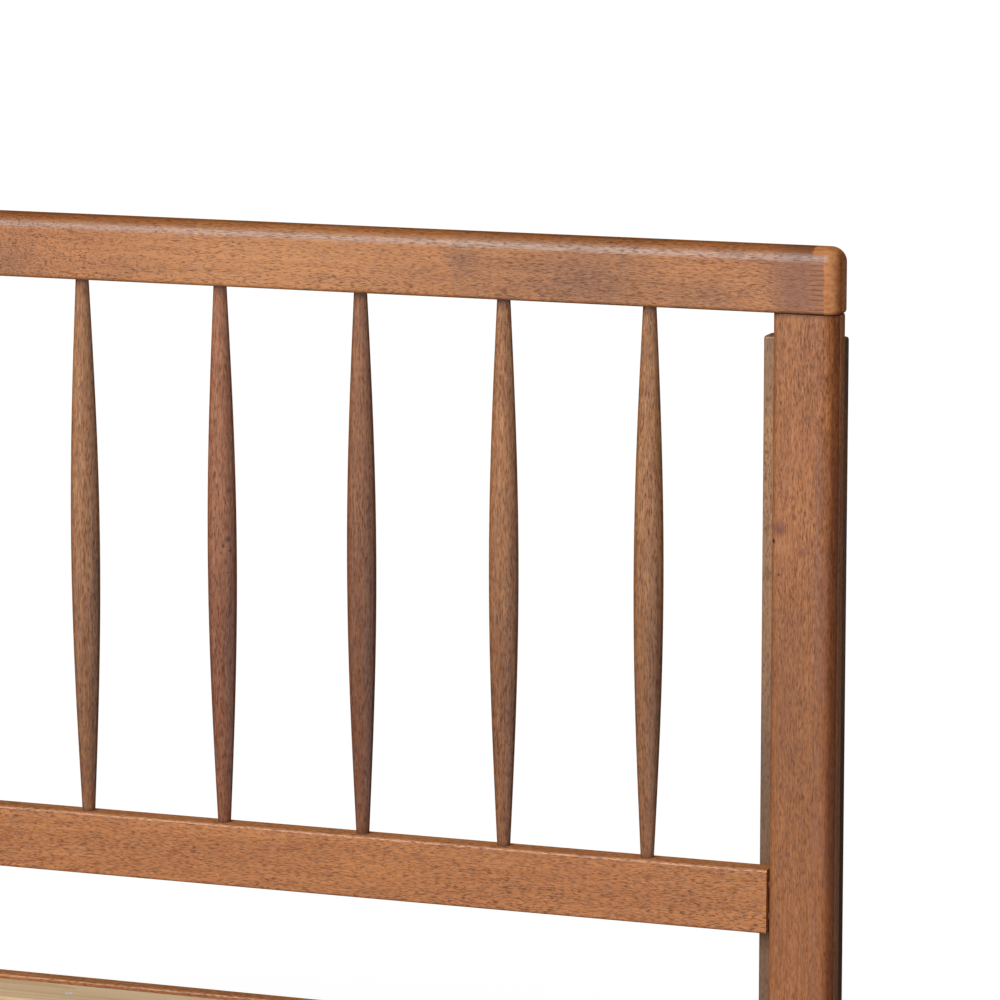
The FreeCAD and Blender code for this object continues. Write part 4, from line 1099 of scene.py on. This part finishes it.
def make_screws(steel):
    """The wood screws: in the slats, the cleats, the headboard's legs and the beam's hangers."""
    slat_places = []
    for k in range(1, SLAT_COUNT + 1):
        low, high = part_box("slat_%d" % k)
        slat_places += [((x, (low.y + high.y) / 2, high.z), HEAD_TURNS["up"])
                        for x in (-SLAT_SCREW_LINE, 0, SLAT_SCREW_LINE)]
    cleat_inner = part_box("slat_cleat_right")[0].x
    cleat_places = [((side * cleat_inner, y, CLEAT_SCREW_HEIGHT), inward_turn(side)) for side in (-1, 1)
                    for y in spread(*CLEAT_SCREW_ENDS, CLEAT_SCREWS_PER_SIDE)]
    leg_places = [((side * LEG_SCREW_LINE, LEG_BACK, z), HEAD_TURNS["back"])
                  for side in (-1, 1) for z in LEG_SCREW_HEIGHTS]
    hanger_faces = ((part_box("foot_rail")[1].y + HANGER_THICKNESS, HEAD_TURNS["back"]),
                    (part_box("cross_rail")[0].y - HANGER_THICKNESS, HEAD_TURNS["front"]))
    hanger_places = [((side * HANGER_SCREW_LINE, face, z), turn) for side in (-1, 1)
                     for z in HANGER_SCREW_HEIGHTS for face, turn in hanger_faces]
    for length, places, name, node in (
            (SLAT_SCREW_LENGTH, slat_places, "slat_screw_set", "slat_screws"),
            (CLEAT_SCREW_LENGTH, cleat_places, "cleat_screw_set", "cleat_screws"),
            (LEG_SCREW_LENGTH, leg_places, "cross_rail_screw_set", "cross_rail_screws"),
            (HANGER_SCREW_LENGTH, hanger_places, "hanger_screw_set", "beam_hanger_screws")):
        fitting(place_copies(screw_pattern(length), places), name, node, "zinc_steel", steel)


def make_bolts(steel):
    """The connector bolts: through the headboard's legs, and from inside the foot legs."""
    head_places, side_places = (
        [((side * BOLT_LINE, LEG_BACK, z), HEAD_TURNS["back"]) for side in (-1, 1) for z in heights]
        for heights in (HEAD_BOLT_HEIGHTS, SIDE_BOLT_HEIGHTS))
    foot_places = []
    leg_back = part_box("foot_leg_right")[1].y
    for side in (-1, 1):
        inner = side * (RAIL_INNER - FOOT_LEG_WIDTH)
        foot_places += [((inner, FOOT_LEG_MIDDLE_Y, z), inward_turn(side)) for z in FOOT_BOLT_SIDE_HEIGHTS]
        foot_places += [((side * FOOT_LEG_MIDDLE_X, leg_back, z), HEAD_TURNS["back"])
                        for z in FOOT_BOLT_RAIL_HEIGHTS]
    for length, places, name, node in (
            (HEAD_BOLT_LENGTH, head_places, "headboard_bolt_set", "headboard_bolts"),
            (SIDE_BOLT_LENGTH, side_places, "side_rail_bolt_set", "side_rail_bolts"),
            (FOOT_BOLT_LENGTH, foot_places, "foot_leg_bolt_set", "foot_leg_bolts")):
        fitting(place_copies(bolt_pattern(length), places), name, node, "zinc_steel", steel)


def threaded_stem(name, x, y, bottom, top):
    """A threaded stem, its rings by turns at the thread's crest and its root."""
    rings = [(bottom, THREAD_CREST)]
    while rings[-1][0] < top - NEAR:
        height = min(top, rings[-1][0] + THREAD_PITCH / 2)
        rings.append((height, THREAD_ROOT if len(rings) % 2 else THREAD_CREST))
    return draw_up(name, x, y, rings, sides=20)


def make_levelling_feet(steel):
    """Three levelling feet: round pad with a softened edge, hexagon nut and threaded stem."""
    for k in range(1, CENTRE_LEG_COUNT + 1):
        low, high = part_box("levelling_foot_%d" % k)
        x, y = (low.x + high.x) / 2, (low.y + high.y) / 2
        pad = add_rod("foot_pad", (x, y, 0), PAD_RADIUS, PAD_HEIGHT, sides=48)
        round_edges(pad, lambda a, b: both_at(a, b, Z, PAD_HEIGHT), EASING, steps=4)
        round_edges(pad, lambda a, b: both_at(a, b, Z, 0), METAL_EASING, steps=2)
        nut = add_rod("foot_nut", (x, y, NUT_BOTTOM), NUT_WIDTH / math.sqrt(3), NUT_HEIGHT, sides=6)
        round_edges(nut, lambda a, b: not both_at(a, b, Z, NUT_BOTTOM), METAL_EASING, steps=2)
        stem = threaded_stem("foot_stem", x, y, PAD_HEIGHT, high.z)
        fitting([pad, nut, stem], "levelling_foot_set_%d" % k, "levelling_foot_%d" % k, "zinc_steel", steel,
                body="foot_%d" % k)


def make_glides(plastic):
    """Four glides: a disc with a rounded lower edge, a step inwards and its pin."""
    glides = []
    toe_middle = FOOT_LEG_TOE / 2
    for side, name in SIDES:
        foot_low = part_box("foot_leg_" + name)[0]
        board_middle = box_middle("headboard_leg_" + name)
        for x, y in ((side * (RAIL_INNER - toe_middle), foot_low.y + toe_middle),
                     (board_middle.x, board_middle.y)):
            glide = add_rod("glide", (x, y, 0), GLIDE_RADIUS, GLIDE_HEIGHT, sides=40)
            round_edges(glide, lambda a, b: both_at(a, b, Z, 0), FINE_EASING, steps=3)
            take_up(glide)
            bpy.ops.object.mode_set(mode="EDIT")
            select_faces(glide, lambda centre, normal: normal.z > 0.9)
            bpy.ops.mesh.inset(thickness=GLIDE_RADIUS - GLIDE_PIN_RADIUS, depth=0)
            extrude_up(GLIDE_PIN_LENGTH)
            bpy.ops.object.mode_set(mode="OBJECT")
            glides.append(glide)
    fitting(glides, "leg_glide_set", "leg_glides", "glide_plastic", plastic)


def dress_node(node, material):
    """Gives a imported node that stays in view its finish."""
    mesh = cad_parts[node].data
    mesh.materials.clear()
    mesh.materials.append(material)


def direction_to(azimuth, elevation):
    """The direction to something seen from the bed: azimuth 0 is the foot's side, 90 the right side."""
    a, e = math.radians(azimuth), math.radians(elevation)
    return Vector((math.sin(a) * math.cos(e), -math.cos(a) * math.cos(e), math.sin(e)))


def add_sun(name, azimuth, elevation, level, softness):
    """A soft sun; a level of 1 shows a white surface that faces it as white."""
    turn = (-direction_to(azimuth, elevation)).to_track_quat("-Z", "Y").to_euler()
    deselect_all()
    bpy.ops.object.light_add(type="SUN", location=(0, 0, 4), rotation=turn)
    sun = bpy.context.active_object
    sun.name = name
    sun.data.energy = math.pi * level
    sun.data.angle = math.radians(softness)
    return sun


def background_rays(tree):
    """1 for the rays that meet the white surround straight on, in gloss or through glass, 0 for the rest."""
    rays = tree.nodes.new("ShaderNodeLightPath")
    seen = rays.outputs["Is Camera Ray"]
    for kind in ("Is Glossy Ray", "Is Transmission Ray"):
        either = tree.nodes.new("ShaderNodeMath")
        either.operation = "MAXIMUM"
        tree.links.new(seen, either.inputs[0])
        tree.links.new(rays.outputs[kind], either.inputs[1])
        seen = either.outputs[0]
    return seen


def make_studio():
    """A pale floor that shows the bed's shadow, a white surround and soft light from the front."""
    deselect_all()
    bpy.ops.mesh.primitive_plane_add(size=240, location=(0, 0, 0))
    floor = name_piece(bpy.context.active_object, "studio_floor")
    paint = bpy.data.materials.new("studio_floor_paint")
    paint.use_nodes = True
    tree = paint.node_tree
    shader = tree.nodes["Principled BSDF"]
    shader.inputs["Base Color"].default_value = (FLOOR_TONE, FLOOR_TONE, FLOOR_TONE, 1)
    shader.inputs["Roughness"].default_value = 0.9
    shader.inputs["Specular IOR Level"].default_value = 0.0
    shader.inputs["Emission Color"].default_value = (1, 1, 1, 1)
    glow = tree.nodes.new("ShaderNodeMath")
    glow.operation = "MULTIPLY"
    glow.inputs[1].default_value = FLOOR_GLOW
    tree.links.new(background_rays(tree), glow.inputs[0])
    tree.links.new(glow.outputs[0], shader.inputs["Emission Strength"])
    floor.data.materials.append(paint)

    world = bpy.data.worlds.new("studio_world")
    bpy.context.scene.world = world
    world.use_nodes = True
    tree = world.node_tree
    tree.nodes.clear()
    blend = tree.nodes.new("ShaderNodeMixShader")
    tree.links.new(background_rays(tree), blend.inputs[0])
    for k, level in ((1, AMBIENT_LEVEL), (2, 1.0)):
        white = tree.nodes.new("ShaderNodeBackground")
        white.inputs["Color"].default_value = (1, 1, 1, 1)
        white.inputs["Strength"].default_value = level
        tree.links.new(white.outputs[0], blend.inputs[k])
    output = tree.nodes.new("ShaderNodeOutputWorld")
    tree.links.new(blend.outputs[0], output.inputs["Surface"])

    add_sun("front_light", **FRONT_LIGHT)
    add_sun("back_light", **BACK_LIGHT)


def make_camera():
    """The camera: a long lens on the right half of the headboard, from the right and a little above."""
    turn = (math.radians(90 - CAMERA_DOWN), 0, math.radians(CAMERA_TURN))
    bpy.ops.object.camera_add(location=CAMERA_PLACE, rotation=turn)
    camera = bpy.context.active_object
    camera.data.sensor_width = 36.0
    camera.data.lens = CAMERA_LENS
    camera.data.clip_end = 500
    bpy.context.scene.camera = camera


make_top_rail()
make_lower_rail()
make_spindles()
make_posts()
make_headboard_legs()
make_side_rails()
make_foot_rail()
make_foot_legs()
make_cross_rail()
make_cleats()
make_centre_beam()
make_centre_legs()
make_slats()
steel_finish = zinc_steel()
plastic_finish = glide_plastic()
make_screws(steel_finish)
make_bolts(steel_finish)
make_levelling_feet(steel_finish)
make_glides(plastic_finish)
for steel_node in ("beam_hanger_foot", "beam_hanger_head", "threaded_inserts", "side_rail_barrel_nuts",
                   "centre_leg_studs"):
    dress_node(steel_node, steel_finish)
dowel_finish = plain_wood("dowel_wood", "X", (0, 0, -0.2), (208, 170, 122), (190, 148, 100), (170, 126, 80))
dress_node("headboard_dowels", dowel_finish)
dress_node("side_rail_dowels", dowel_finish)
make_studio()
make_camera()

bpy.context.scene.view_settings.view_transform = "Standard"
